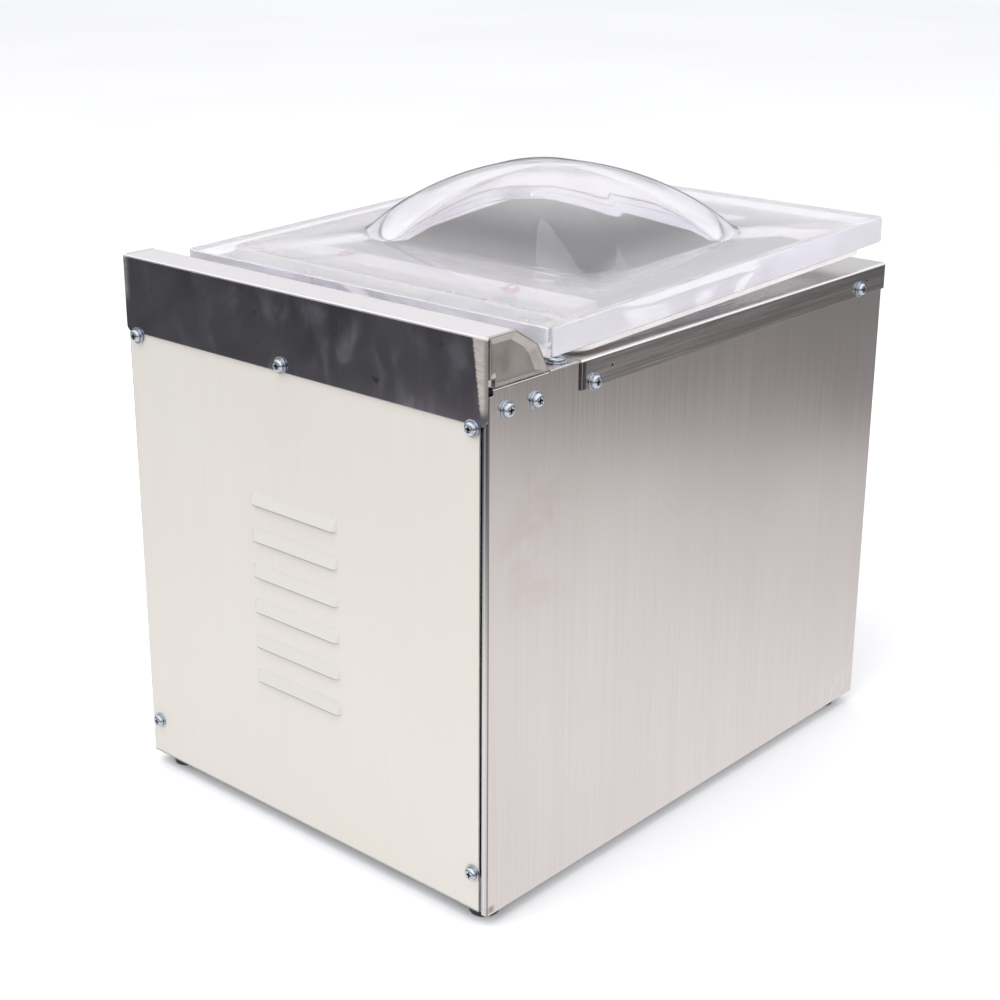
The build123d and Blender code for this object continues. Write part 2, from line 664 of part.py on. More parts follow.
with BuildPart() as casing_screws:
    for x, height in COVER_SCREWS:
        pan_screw(upright(x, -COVER_PROUD, height), SCREW_L + SHEET)
    for x, height in LOWER_SCREWS:
        pan_screw(upright(x, 0, height), SCREW_L)
    for hand in (-1, 1):
        for forward, height in PANEL_SCREWS:
            pan_screw(outward(hand * HALF_W, forward, height), SCREW_L)
        for forward, height in LIP_SCREWS:
            pan_screw(outward(hand * (HALF_W + SHEET), forward, height), SCREW_L + SHEET)
casing_screws.part.label = "casing_screws"
export_step(casing_screws.part, "parts/casing_screws.step")

with BuildPart() as deck_screws:
    for hand in (-1, 1):
        spot = Plane(
            origin=(hand * DECK_SCREW_X, back(DECK_SCREW_FORWARD), up(PLATE_TOP)),
            z_dir=(0, 0, 1),
        )
        pan_screw(spot, SHEET - FIT, DECK_SCREW_SCALE, HEAD_T * DECK_HEAD_SHARE)
deck_screws.part.label = "deck_screws"
export_step(deck_screws.part, "parts/deck_screws.step")

# ---------------------------------------------------------------- hinge blocks and rod
BLOCK_GAP = 1.0
BLOCK_REACH = 8.0
BLOCK_TOP = 8.0
BLOCK_R = 5.0
ROD_END = 5.0
ROD_CHAMFER = 0.6
block_step = KNUCKLE_L / 2 + BLOCK_GAP + BLOCK_W / 2
block_centres = [hand * (ARM_X + turn * block_step) for hand in (-1, 1) for turn in (-1, 1)]

with BuildPart() as hinge_blocks:
    for x in block_centres:
        with BuildSketch(level(PLATE_TOP)):
            with Locations((x, back(AXIS_FORWARD))):
                Rectangle(BLOCK_W, 2 * BLOCK_REACH)
        extrude(amount=AXIS_UP - PLATE_TOP + BLOCK_TOP)
    fillet(hinge_blocks.edges().filter_by(Axis.X).group_by(Axis.Z)[-1], BLOCK_R)
    with BuildSketch(side(0)):
        with Locations((back(AXIS_FORWARD), up(AXIS_UP))):
            Circle(ROD_R + RUNNING)
    extrude(amount=BODY_W / 2, both=True, mode=Mode.SUBTRACT)
hinge_blocks.part.label = "hinge_blocks"
export_step(hinge_blocks.part, "parts/hinge_blocks.step")

with BuildPart() as hinge_rod:
    rod_half = max(block_centres) + BLOCK_W / 2 + ROD_END
    with BuildSketch(side(-rod_half)):
        with Locations((back(AXIS_FORWARD), up(AXIS_UP))):
            Circle(ROD_R)
    extrude(amount=2 * rod_half)
    chamfer(hinge_rod.edges().filter_by(GeomType.CIRCLE), ROD_CHAMFER)
hinge_rod.part.label = "hinge_rod"
export_step(hinge_rod.part, "parts/hinge_rod.step")

# ---------------------------------------------------------------- lid springs and their anchor
SPRING_WIRE = 2.2
WIRE_SHARE = 0.8          # wall of the closed coil over its wire
HOOK_R = 1.25
HOOK_OVER = 0.4           # hook rod beyond the cross wire
SPRING_R = 7.0            # coil radius to the middle of the wire
SPRING_LOW = 236.0
SPRING_COIL_TOP = 322.0
END_DISC_T = 5.5
ANCHOR_REACH = 30.0
ANCHOR_DROP = 8.0         # anchor shelf under the spring's coil
ANCHOR_PLATE_H = 22.0
ANCHOR_PLATE_END = 25.0
ANCHOR_T = 2.0
SHELF_W = 16.0
SHELF_T = 2.5
lever_tip = LID.from_local_coords((0, LEVER_REACH, LEVER_RISE))

with BuildPart() as spring_anchor:
    shelf_root = SHEET + FIT + ANCHOR_T
    with BuildSketch(wall(SHEET + FIT)):
        with Locations((0, up(SPRING_LOW - ANCHOR_DROP))):
            Rectangle(2 * (ARM_X + ANCHOR_PLATE_END), ANCHOR_PLATE_H)
    extrude(amount=ANCHOR_T)
    for hand in (-1, 1):
        with BuildSketch(level(SPRING_LOW - ANCHOR_DROP)):
            with Locations((hand * ARM_X, back((shelf_root + ANCHOR_REACH) / 2))):
                Rectangle(SHELF_W, ANCHOR_REACH - shelf_root)
        extrude(amount=SHELF_T)
spring_anchor.part.label = "spring_anchor"
export_step(spring_anchor.part, "parts/spring_anchor.step")

with BuildPart() as lid_springs:
    turns = int((SPRING_COIL_TOP - SPRING_LOW) / SPRING_WIRE)
    coil_top = SPRING_LOW + turns * SPRING_WIRE
    spring_y = lever_tip.Y
    hook_step = LEVER_T / 2 + SPRING_WIRE
    for hand in (-1, 1):
        axis_x = hand * ARM_X
        seat = Plane(origin=(axis_x, spring_y, up(SPRING_LOW)), x_dir=(1, 0, 0), z_dir=(0, -1, 0))
        with BuildSketch(seat):
            with Locations((SPRING_R, turns * SPRING_WIRE / 2)):
                Rectangle(SPRING_WIRE * WIRE_SHARE, turns * SPRING_WIRE)
            for turn in range(turns + 1):
                with Locations((SPRING_R, turn * SPRING_WIRE)):
                    Circle(SPRING_WIRE / 2)
        revolve(axis=Axis((axis_x, spring_y, 0), (0, 0, 1)), revolution_arc=360)
        hook_x = axis_x - hand * hook_step
        with BuildSketch(level(coil_top)):
            with Locations((axis_x - hand * (SPRING_R + hook_step) / 2, spring_y)):
                Rectangle(SPRING_R - hook_step + SPRING_WIRE, SPRING_WIRE)
        extrude(amount=SPRING_WIRE / 2)
        hook_low = up(coil_top) - HOOK_OVER
        with BuildSketch(Plane.XY.offset(hook_low)):
            with Locations((hook_x, spring_y)):
                Circle(HOOK_R)
        extrude(amount=lever_tip.Z - hook_low + HOOK_R + HOOK_OVER)
        with BuildSketch(side(hook_x)):
            with Locations((spring_y, lever_tip.Z)):
                Circle(SPRING_WIRE / 2)
        extrude(amount=hand * 2 * hook_step)
        with BuildSketch(level(SPRING_LOW - END_DISC_T)):
            with Locations((axis_x, spring_y)):
                Circle(SPRING_R + SPRING_WIRE / 2 + HOOK_OVER)
        extrude(amount=END_DISC_T)
lid_springs.part.label = "lid_springs"
export_step(lid_springs.part, "parts/lid_springs.step")


# ---------------------------------------------------------------- hinge arms, on the lid
LEAF_T = 3.6
LEAF_HALF = 50.0
LEAF_REAR = -21.0
LEAF_FRONT = -44.0
LID_SCREW_Y = -28.5
LID_SCREW_STEP = 38.0
LEAF_R = 3.0
LEVER_HOLE_R = 1.9
LEVER_OUTLINE = [
    (-2.0, 6.0), (LEVER_REACH + 1.0, LEVER_RISE + 4.5), (LEVER_REACH + 4.5, LEVER_RISE),
    (LEVER_REACH + 2.0, LEVER_RISE - 4.5), (3.0, -5.5),
]


def hinge_arm(hand):
    """Build one arm: leaf under the lid, neck, knuckle on the rod and spring lever."""
    middle = hand * ARM_X
    with BuildPart() as arm:
        with BuildSketch(LID.offset(LID_UNDER)):
            with Locations((middle, (LEAF_REAR + LEAF_FRONT) / 2)):
                RectangleRounded(2 * LEAF_HALF, LEAF_REAR - LEAF_FRONT, LEAF_R)
            with Locations((middle, (LEAF_REAR - LEAF_R) / 2)):
                Rectangle(KNUCKLE_L, LEAF_R - LEAF_REAR)
        extrude(amount=-LEAF_T)
        with BuildSketch(lid_side(middle - KNUCKLE_L / 2)):
            Circle(KNUCKLE_R)
        extrude(amount=KNUCKLE_L)
        with BuildSketch(lid_side(middle - LEVER_T / 2)):
            with BuildLine():
                Polyline(LEVER_OUTLINE, close=True)
            make_face()
        extrude(amount=LEVER_T)
        with BuildSketch(lid_side(middle)):
            Circle(ROD_R + RUNNING)
            with Locations((LEVER_REACH, LEVER_RISE)):
                Circle(LEVER_HOLE_R)
        extrude(amount=KNUCKLE_L, both=True, mode=Mode.SUBTRACT)
        for turn in (-1, 1):
            spot = lid_spot(middle + turn * LID_SCREW_STEP, LID_SCREW_Y, LID_UNDER - LEAF_T)
            sunk_screw(spot, LEAF_T, SINK_GAP, Mode.SUBTRACT)
    return arm


hinge_arm_left = hinge_arm(-1)
hinge_arm_left.part.label = "hinge_arm_left"
export_step(hinge_arm_left.part, "parts/hinge_arm_left.step")

hinge_arm_right = hinge_arm(1)
hinge_arm_right.part.label = "hinge_arm_right"
export_step(hinge_arm_right.part, "parts/hinge_arm_right.step")

# ---------------------------------------------------------------- lid with its blown dome
DOME_STEPS = [1.0, 0.93, 0.82, 0.68, 0.5, 0.3, 0.12]
DOME_ROUNDING = 0.9       # how far the outline turns to a round one toward the crown
DOME_Y = LID_REAR - DOME_FROM_REAR
PAD_Y = LID_REAR - PAD_FROM_REAR
PAD_SCREW_X = 76.0
LID_SCREW_DEPTH = 12.0
PAD_SCREW_DEPTH = 9.0


def dome_rise(share, height):
    """Height of the dome's arc where its outline has shrunk to a share of its base."""
    foot = sqrt(ARC_RATIO ** 2 - 1)
    return height * (sqrt(ARC_RATIO ** 2 - share ** 2) - foot) / (ARC_RATIO - foot)


def dome_sections(width, length, corner, base, height):
    """Draw the rounded outlines that a dome is lofted through."""
    sections = []
    for share in DOME_STEPS:
        roundness = corner + (length / 2 - corner) * DOME_ROUNDING * (1 - share)
        with BuildSketch(LID.offset(base + dome_rise(share, height))) as outline:
            with Locations((0, DOME_Y)):
                RectangleRounded(width * share, length * share, roundness * share)
        sections.append(outline.sketch)
    return sections


with BuildPart() as lid_plate:
    lid_top = LID_UNDER + LID_T
    hollow_w = DOME_W - 2 * DOME_WALL
    hollow_l = DOME_L - 2 * DOME_WALL
    hollow_h = LID_T + DOME_H - DOME_WALL
    with BuildSketch(LID.offset(LID_UNDER)):
        with Locations((0, LID_REAR - LID_L / 2)):
            RectangleRounded(LID_W, LID_L, LID_R)
    extrude(amount=LID_T)
    loft(dome_sections(DOME_W, DOME_L, DOME_CORNER, lid_top, DOME_H))
    hollow = dome_sections(hollow_w, hollow_l, HOLLOW_CORNER, LID_UNDER, hollow_h)
    loft(hollow, mode=Mode.SUBTRACT)
    with BuildSketch(LID.offset(LID_UNDER)):
        for hand in (-1, 1):
            for turn in (-1, 1):
                with Locations((hand * ARM_X + turn * LID_SCREW_STEP, LID_SCREW_Y)):
                    Circle(SHANK_R + HOLE_GAP)
    extrude(amount=LID_SCREW_DEPTH, mode=Mode.SUBTRACT)
    with BuildSketch(LID.offset(LID_UNDER)):
        with Locations((-PAD_SCREW_X, PAD_Y), (PAD_SCREW_X, PAD_Y)):
            Circle(SHANK_R + HOLE_GAP)
    extrude(amount=PAD_SCREW_DEPTH, mode=Mode.SUBTRACT)
lid_plate.part.label = "lid_plate"
export_step(lid_plate.part, "parts/lid_plate.step")

GASKET_OUT_W = 320.0
GASKET_OUT_L = 327.0
GASKET_Y = -211.5         # middle of the gasket, from the hinge axis
GASKET_OUTER_R = 12.0
GASKET_INNER_R = 4.0
GASKET_EDGE = 1.2

with BuildPart() as lid_gasket:
    gasket_in_w = GASKET_OUT_W - 2 * GASKET_W
    gasket_in_l = GASKET_OUT_L - 2 * GASKET_W
    with BuildSketch(LID.offset(LID_UNDER)):
        with Locations((0, GASKET_Y)):
            RectangleRounded(GASKET_OUT_W, GASKET_OUT_L, GASKET_OUTER_R)
            RectangleRounded(gasket_in_w, gasket_in_l, GASKET_INNER_R, mode=Mode.SUBTRACT)
    extrude(amount=-GASKET_T)
    fillet(lid_gasket.faces().sort_by(Axis.Z)[0].edges(), GASKET_EDGE)
lid_gasket.part.label = "lid_gasket"
export_step(lid_gasket.part, "parts/lid_gasket.step")

# ---------------------------------------------------------------- lid screws and upper pad
PAD_WASHER_T = 1.0
SCREW_TIP_GAP = 0.5       # left under a screw in its blind hole
HOLDER_R = 1.5
PAD_END = 2.0             # pad shorter than its holder at each end
PAD_R = 2.0
PAD_EDGE = 1.5
lid_screw_spots = [
    (hand * ARM_X + turn * LID_SCREW_STEP, LID_SCREW_Y) for hand in (-1, 1) for turn in (-1, 1)
]
pad_screw_spots = [(-PAD_SCREW_X, PAD_Y), (PAD_SCREW_X, PAD_Y)]

with BuildPart() as lid_screws:
    for x, y in lid_screw_spots:
        sunk_screw(lid_spot(x, y, LID_UNDER - LEAF_T), LEAF_T + LID_SCREW_DEPTH - SCREW_TIP_GAP)
lid_screws.part.label = "lid_screws"
export_step(lid_screws.part, "parts/lid_screws.step")

with BuildPart() as pad_washers:
    for x, y in pad_screw_spots:
        disc(lid_spot(x, y, LID_UNDER - PAD_WASHER_T), WASHER_R, PAD_WASHER_T)
        disc(lid_spot(x, y, LID_UNDER - PAD_WASHER_T), SHANK_R + HOLE_GAP, PAD_WASHER_T, Mode.SUBTRACT)
pad_washers.part.label = "pad_washers"
export_step(pad_washers.part, "parts/pad_washers.step")

holder_low = LID_UNDER - PAD_WASHER_T - PAD_HOLDER_T
with BuildPart() as pad_holder:
    with BuildSketch(LID.offset(holder_low)):
        with Locations((0, PAD_Y)):
            RectangleRounded(PAD_L, PAD_HOLDER_W, HOLDER_R)
    extrude(amount=PAD_HOLDER_T)
    for x, y in pad_screw_spots:
        sunk_screw(lid_spot(x, y, holder_low), PAD_HOLDER_T, SINK_GAP, Mode.SUBTRACT)
pad_holder.part.label = "pad_holder"
export_step(pad_holder.part, "parts/pad_holder.step")

with BuildPart() as pad_screws:
    for x, y in pad_screw_spots:
        sunk_screw(lid_spot(x, y, holder_low), LID_UNDER - holder_low + PAD_SCREW_DEPTH - SCREW_TIP_GAP)
pad_screws.part.label = "pad_screws"
export_step(pad_screws.part, "parts/pad_screws.step")

with BuildPart() as seal_pad:
    with BuildSketch(LID.offset(holder_low)):
        with Locations((0, PAD_Y)):
            RectangleRounded(PAD_L - 2 * PAD_END, PAD_W, PAD_R)
    extrude(amount=-PAD_T)
    fillet(seal_pad.faces().sort_by(Axis.Z)[0].edges(), PAD_EDGE)
seal_pad.part.label = "seal_pad"
export_step(seal_pad.part, "parts/seal_pad.step")

# ---------------------------------------------------------------- sealing bar and its lift
STRIP_W = 5.0
STRIP_T = 0.4
TAPE_T = 0.25
PISTON_LOW = 262.0
CYLINDER_LOW = 246.0
CYLINDER_TOP = 290.0
BORE_LOW = 252.0
NIPPLE_R = 3.5
NIPPLE_L = 12.0
NIPPLE_BORE_R = 1.6
COLLAR_R = 14.0
COLLAR_T = 3.0
BAR_R = 2.0
STRIP_END = 4.0
TERMINAL_R = 2.2
TERMINAL_DEPTH = 8.0

with BuildPart() as seal_bar:
    with BuildSketch(level(BAR_TOP - BAR_H)):
        with Locations((0, back(pad_forward))):
            RectangleRounded(BAR_L, BAR_W, BAR_R)
    extrude(amount=BAR_H)
    with BuildSketch(level(BAR_TOP)):
        with Locations((0, back(pad_forward))):
            Rectangle(BAR_L - 2 * STRIP_END, STRIP_W)
    extrude(amount=-STRIP_T, mode=Mode.SUBTRACT)
    for hand in (-1, 1):
        with BuildSketch(side(hand * (BAR_L / 2 - TERMINAL_DEPTH))):
            with Locations((back(pad_forward), up(BAR_TOP - BAR_H / 2 - TERMINAL_R))):
                Circle(TERMINAL_R)
        extrude(amount=hand * TERMINAL_DEPTH, mode=Mode.SUBTRACT)
seal_bar.part.label = "seal_bar"
export_step(seal_bar.part, "parts/seal_bar.step")

with BuildPart() as heating_strip:
    with BuildSketch(level(BAR_TOP)):
        with Locations((0, back(pad_forward))):
            Rectangle(BAR_L - 2 * STRIP_END, STRIP_W)
    extrude(amount=-STRIP_T)
heating_strip.part.label = "heating_strip"
export_step(heating_strip.part, "parts/heating_strip.step")

with BuildPart() as seal_tape:
    with BuildSketch(level(BAR_TOP)):
        with Locations((0, back(pad_forward))):
            Rectangle(BAR_L - STRIP_END, BAR_W - BAR_R)
    extrude(amount=TAPE_T)
seal_tape.part.label = "seal_tape"
export_step(seal_tape.part, "parts/seal_tape.step")

with BuildPart() as lift_pistons:
    with BuildSketch(level(PISTON_LOW)):
        with Locations((-PISTON_X, back(pad_forward)), (PISTON_X, back(pad_forward))):
            Circle(PISTON_R)
    extrude(amount=BAR_TOP - BAR_H - PISTON_LOW)
lift_pistons.part.label = "lift_pistons"
export_step(lift_pistons.part, "parts/lift_pistons.step")

with BuildPart() as lift_cylinders:
    for x in (-PISTON_X, PISTON_X):
        foot_plane = Plane(origin=(x, back(pad_forward), up(CYLINDER_LOW)), z_dir=(0, 0, 1))
        bore_plane = foot_plane.offset(BORE_LOW - CYLINDER_LOW)
        nipple_plane = foot_plane.offset(-NIPPLE_L)
        disc(foot_plane, CYLINDER_R, CYLINDER_TOP - CYLINDER_LOW)
        disc(foot_plane.offset(CHAMBER_FLOOR - CYLINDER_LOW), COLLAR_R, COLLAR_T)
        disc(foot_plane, NIPPLE_R, -NIPPLE_L)
        disc(bore_plane, PISTON_R + RUNNING, CYLINDER_TOP - BORE_LOW, Mode.SUBTRACT)
        disc(nipple_plane, NIPPLE_BORE_R, NIPPLE_L + BORE_LOW - CYLINDER_LOW, Mode.SUBTRACT)
lift_cylinders.part.label = "lift_cylinders"
export_step(lift_cylinders.part, "parts/lift_cylinders.step")

# ---------------------------------------------------------------- vacuum pump and motor
PUMP_X = 45.0
SHAFT_UP = 78.0
SHAFT_R = 6.0
PUMP_REAR = 60.0
PUMP_FRONT = 180.0
PUMP_W = 108.0
PUMP_LOW = 22.0
PUMP_TOP = 127.0
MOTOR_FRONT = 330.0
MOTOR_R = 54.0
FIN_COUNT = 28
FIN_T = 2.0
FIN_OUT = 3.0
FAN_BLADES = 7
COVER_END = 362.0
TRAY_FLOOR = TRAY_UP + FRAME_SHEET
MOUNT_R = 9.0
MOUNT_STEP = 36.0         # mounts on each side of the shaft
MOUNT_REAR = 85.0
MOUNT_FRONT = 290.0
RIB_OUT = 5.0
RIB_T = 3.0
RIB_PITCH = 12.0
RIB_COUNT = 9
PUMP_R = 8.0
PUMP_HEAD_H = 20.0        # smooth top of the pump above its ribs
NECK_R = 10.0
NECK_H = 6.0
OUTLET_X = 75.0
OUTLET_FORWARD = 120.0
FILTER_X = 20.0
FILTER_FORWARD = 90.0
FILTER_R = 20.0
FILTER_H = 90.0
FILTER_EDGE = 6.0
SHAFT_GAP = 0.3
SHAFT_IN = 12.0           # shaft inside the pump
SHAFT_POCKET = 15.0
SHAFT_OUT = 24.0          # shaft beyond the motor
BELL_STEP = 4.0           # end bells smaller than the finned middle
BELL_L = 18.0
SADDLE_W = 96.0
SADDLE_L = 40.0
SADDLE_H = 10.0
BOX_W = 46.0
BOX_L = 60.0
BOX_H = 24.0
BOX_X = -10.0
BOX_FORWARD = 255.0
BOX_SUNK = 8.0
HUB_R = 14.0
HUB_L = 14.0
HUB_GAP = 6.0
BLADE_L = 34.0
BLADE_MID = 27.0
BLADE_T = 2.4
BLADE_W = 13.0
GUARD_STEP = 2.0
GUARD_T = 1.5
GUARD_EDGE = 5.0
GUARD_RINGS = {14.0: 8, 22.0: 14, 30.0: 20, 38.0: 24}
GUARD_HOLE_R = 2.2


def shaft_plane(forward):
    """Plane square to the motor shaft, looking to the front."""
    return front_at(PUMP_X, forward, SHAFT_UP)


with BuildPart() as pump_body:
    with BuildSketch(level(PUMP_LOW)):
        with Locations((PUMP_X, back((PUMP_REAR + PUMP_FRONT) / 2))):
            RectangleRounded(PUMP_W - 2 * RIB_OUT, PUMP_FRONT - PUMP_REAR, PUMP_R)
    extrude(amount=PUMP_TOP - PUMP_LOW)
    with BuildSketch(level(PUMP_LOW)):
        with Locations((PUMP_X, back((PUMP_REAR + PUMP_FRONT) / 2))):
            with GridLocations(0, RIB_PITCH, 1, RIB_COUNT):
                Rectangle(PUMP_W, RIB_T)
    extrude(amount=PUMP_TOP - PUMP_LOW - PUMP_HEAD_H)
    with BuildSketch(level(PUMP_TOP)):
        with Locations((OUTLET_X, back(OUTLET_FORWARD)), (FILTER_X, back(FILTER_FORWARD))):
            Circle(NECK_R)
    extrude(amount=NECK_H)
    disc(shaft_plane(PUMP_FRONT), SHAFT_R + SHAFT_GAP, -SHAFT_POCKET, Mode.SUBTRACT)
pump_body.part.label = "pump_body"
export_step(pump_body.part, "parts/pump_body.step")

with BuildPart() as motor_case:
    disc(shaft_plane(PUMP_FRONT), MOTOR_R - BELL_STEP, MOTOR_FRONT - PUMP_FRONT)
    with BuildSketch(shaft_plane(PUMP_FRONT + BELL_L)):
        Circle(MOTOR_R - FIN_OUT)
        with PolarLocations(MOTOR_R - (FIN_OUT + FIN_T / 2) / 2, FIN_COUNT):
            Rectangle(FIN_OUT + FIN_T / 2, FIN_T)
    extrude(amount=MOTOR_FRONT - PUMP_FRONT - 2 * BELL_L)
    with BuildSketch(level(PUMP_LOW)):
        with Locations((PUMP_X, back(MOUNT_FRONT))):
            Rectangle(SADDLE_W, SADDLE_L)
    extrude(amount=SADDLE_H)
    with BuildSketch(level(SHAFT_UP + MOTOR_R - BOX_SUNK)):
        with Locations((PUMP_X + BOX_X, back(BOX_FORWARD))):
            RectangleRounded(BOX_W, BOX_L, BELL_STEP)
    extrude(amount=BOX_H)
    disc(shaft_plane(PUMP_FRONT), SHAFT_R + RUNNING, MOTOR_FRONT - PUMP_FRONT, Mode.SUBTRACT)
motor_case.part.label = "motor_case"
export_step(motor_case.part, "parts/motor_case.step")

with BuildPart() as motor_shaft:
    disc(shaft_plane(PUMP_FRONT - SHAFT_IN), SHAFT_R, MOTOR_FRONT + SHAFT_OUT - PUMP_FRONT + SHAFT_IN)
motor_shaft.part.label = "motor_shaft"
export_step(motor_shaft.part, "parts/motor_shaft.step")

with BuildPart() as motor_fan:
    hub_plane = shaft_plane(MOTOR_FRONT + HUB_GAP)
    disc(hub_plane, HUB_R, HUB_L)
    with BuildSketch(hub_plane):
        with PolarLocations(BLADE_MID, FAN_BLADES):
            Rectangle(BLADE_L, BLADE_T)
    extrude(amount=BLADE_W)
    disc(hub_plane, SHAFT_R, HUB_L, Mode.SUBTRACT)
motor_fan.part.label = "motor_fan"
export_step(motor_fan.part, "parts/motor_fan.step")

with BuildPart() as fan_cover:
    guard_r = MOTOR_R - GUARD_STEP
    guard_l = COVER_END - MOTOR_FRONT
    disc(shaft_plane(MOTOR_FRONT), guard_r, guard_l)
    fillet(fan_cover.faces().sort_by(Axis.Y)[0].edges(), GUARD_EDGE)
    disc(shaft_plane(MOTOR_FRONT), guard_r - GUARD_T, guard_l - GUARD_T, Mode.SUBTRACT)
    with BuildSketch(shaft_plane(COVER_END)):
        for ring_r, hole_count in GUARD_RINGS.items():
            with PolarLocations(ring_r, hole_count):
                Circle(GUARD_HOLE_R)
    extrude(amount=-2 * GUARD_T, mode=Mode.SUBTRACT)
fan_cover.part.label = "fan_cover"
export_step(fan_cover.part, "parts/fan_cover.step")

with BuildPart() as pump_mounts:
    with BuildSketch(level(TRAY_FLOOR)):
        for forward in (MOUNT_REAR, MOUNT_FRONT):
            with Locations((PUMP_X - MOUNT_STEP, back(forward)), (PUMP_X + MOUNT_STEP, back(forward))):
                Circle(MOUNT_R)
    extrude(amount=PUMP_LOW - TRAY_FLOOR)
pump_mounts.part.label = "pump_mounts"
export_step(pump_mounts.part, "parts/pump_mounts.step")

with BuildPart() as exhaust_filter:
    filter_plane = Plane(origin=(FILTER_X, back(FILTER_FORWARD), up(PUMP_TOP + NECK_H)), z_dir=(0, 0, 1))
    disc(filter_plane, FILTER_R, FILTER_H)
    fillet(exhaust_filter.faces().sort_by(Axis.Z)[-1].edges(), FILTER_EDGE)
    disc(filter_plane.offset(FILTER_H), FILTER_EDGE, NECK_H)
exhaust_filter.part.label = "exhaust_filter"
export_step(exhaust_filter.part, "parts/exhaust_filter.step")

# ---------------------------------------------------------------- valves and hoses
VALVE_REAR = 215.0
VALVE_FRONT = 285.0
VALVE_LOW = 178.0
VALVE_TOP = 212.0
HOSE_UP = 192.0
HOSE_R = 7.0
HOSE_BEND = 24.0
AIR_R = 3.0
AIR_BEND = 14.0
AIR_UP = 204.0
AIR_UP_FAR = 208.0
AIR_FAR_X = 64.0
VALVE_X = 86.0
VALVE_W = 52.0
BRACKET_X = 112.0
BRACKET_T = 2.0
COIL_X = 84.0
COIL_W = 26.0
COIL_L = 17.0
COIL_R = 3.0
COIL_H = 38.0
COIL_PITCH = 21.0
COIL_COUNT = 3

with BuildPart() as valve_block:
    valve_mid = (VALVE_REAR + VALVE_FRONT) / 2
    with BuildSketch(level(VALVE_LOW)):
        with Locations((VALVE_X, back(valve_mid))):
            Rectangle(VALVE_W, VALVE_FRONT - VALVE_REAR)
    extrude(amount=VALVE_TOP - VALVE_LOW)
    with BuildSketch(side(BRACKET_X)):
        with Locations((back(valve_mid), up((VALVE_TOP + TRAY_FLOOR) / 2))):
            Rectangle(VALVE_FRONT - VALVE_REAR, VALVE_TOP - TRAY_FLOOR)
    extrude(amount=BRACKET_T)
    with BuildSketch(level(VALVE_TOP)):
        with Locations((COIL_X, back(valve_mid))):
            with GridLocations(0, COIL_PITCH, 1, COIL_COUNT):
                RectangleRounded(COIL_W, COIL_L, COIL_R)
    extrude(amount=COIL_H)
valve_block.part.label = "valve_block"
export_step(valve_block.part, "parts/valve_block.step")


def hose(points, radius, bend):
    """Add a round hose along straight runs, (x, forward, height), joined by tangent bends."""
    corners = [Vector(x, back(forward), up(height)) for x, forward, height in points]
    with BuildLine() as route:
        FilletPolyline(corners, radius=bend)
    with BuildSketch(Plane(origin=corners[0], z_dir=corners[1] - corners[0])) as section:
        Circle(radius)
    sweep(section.sketch, path=route.line)


port_low = CHAMBER_FLOOR - PORT_SPIGOT
pump_route = [
    (OUTLET_X, OUTLET_FORWARD, PUMP_TOP + NECK_H),
    (OUTLET_X, OUTLET_FORWARD, HOSE_UP),
    (OUTLET_X, VALVE_REAR, HOSE_UP),
]
port_route = [
    (PORT_X, PORT_FORWARD, port_low),
    (PORT_X, PORT_FORWARD, HOSE_UP),
    (PORT_X, VALVE_FRONT, HOSE_UP),
]
with BuildPart() as vacuum_hoses:
    hose(pump_route, HOSE_R, HOSE_BEND)
    hose(port_route, HOSE_R, HOSE_BEND)
vacuum_hoses.part.label = "vacuum_hoses"
export_step(vacuum_hoses.part, "parts/vacuum_hoses.step")

nipple_low = CYLINDER_LOW - NIPPLE_L
near_route = [
    (PISTON_X, pad_forward, nipple_low),
    (PISTON_X, pad_forward, AIR_UP),
    (PISTON_X, VALVE_REAR, AIR_UP),
]
far_route = [
    (-PISTON_X, pad_forward, nipple_low),
    (-PISTON_X, pad_forward, AIR_UP_FAR),
    (AIR_FAR_X, pad_forward, AIR_UP_FAR),
    (AIR_FAR_X, VALVE_REAR, AIR_UP_FAR),
]
with BuildPart() as air_hoses:
    hose(near_route, AIR_R, AIR_BEND)
    hose(far_route, AIR_R, AIR_BEND)
air_hoses.part.label = "air_hoses"
export_step(air_hoses.part, "parts/air_hoses.step")

# ---------------------------------------------------------------- transformer
CORE_X = -95.0
CORE_FORWARD = 330.0
CORE_W = 84.0
CORE_D = 40.0
CORE_H = 70.0
CORE_LIMB = 14.0          # width of the core's outer limbs and yokes
CORE_WINDOW_W = 14.0
COIL_GAP = 0.4            # between the winding and the iron
WINDING_OUT = 13.8        # winding outside the core, front and back
WINDING_R = 6.0

with BuildPart() as transformer_core:
    with BuildSketch(wall(CORE_FORWARD - CORE_D / 2)):
        with Locations((CORE_X, up(TRAY_FLOOR + CORE_H / 2))):
            Rectangle(CORE_W, CORE_H)
            with GridLocations(CORE_W - 3 * CORE_LIMB, 0, 2, 1):
                Rectangle(CORE_WINDOW_W, CORE_H - 2 * CORE_LIMB, mode=Mode.SUBTRACT)
    extrude(amount=CORE_D)
transformer_core.part.label = "transformer_core"
export_step(transformer_core.part, "parts/transformer_core.step")

with BuildPart() as transformer_coil:
    limb_w = CORE_W - 2 * (CORE_LIMB + CORE_WINDOW_W)
    with BuildSketch(level(TRAY_FLOOR + CORE_LIMB + COIL_GAP)):
        with Locations((CORE_X, back(CORE_FORWARD))):
            RectangleRounded(CORE_W - 2 * CORE_LIMB - COIL_GAP, CORE_D + 2 * WINDING_OUT, WINDING_R)
            Rectangle(limb_w + COIL_GAP, CORE_D + COIL_GAP, mode=Mode.SUBTRACT)
    extrude(amount=CORE_H - 2 * (CORE_LIMB + COIL_GAP))
transformer_coil.part.label = "transformer_coil"
export_step(transformer_coil.part, "parts/transformer_coil.step")

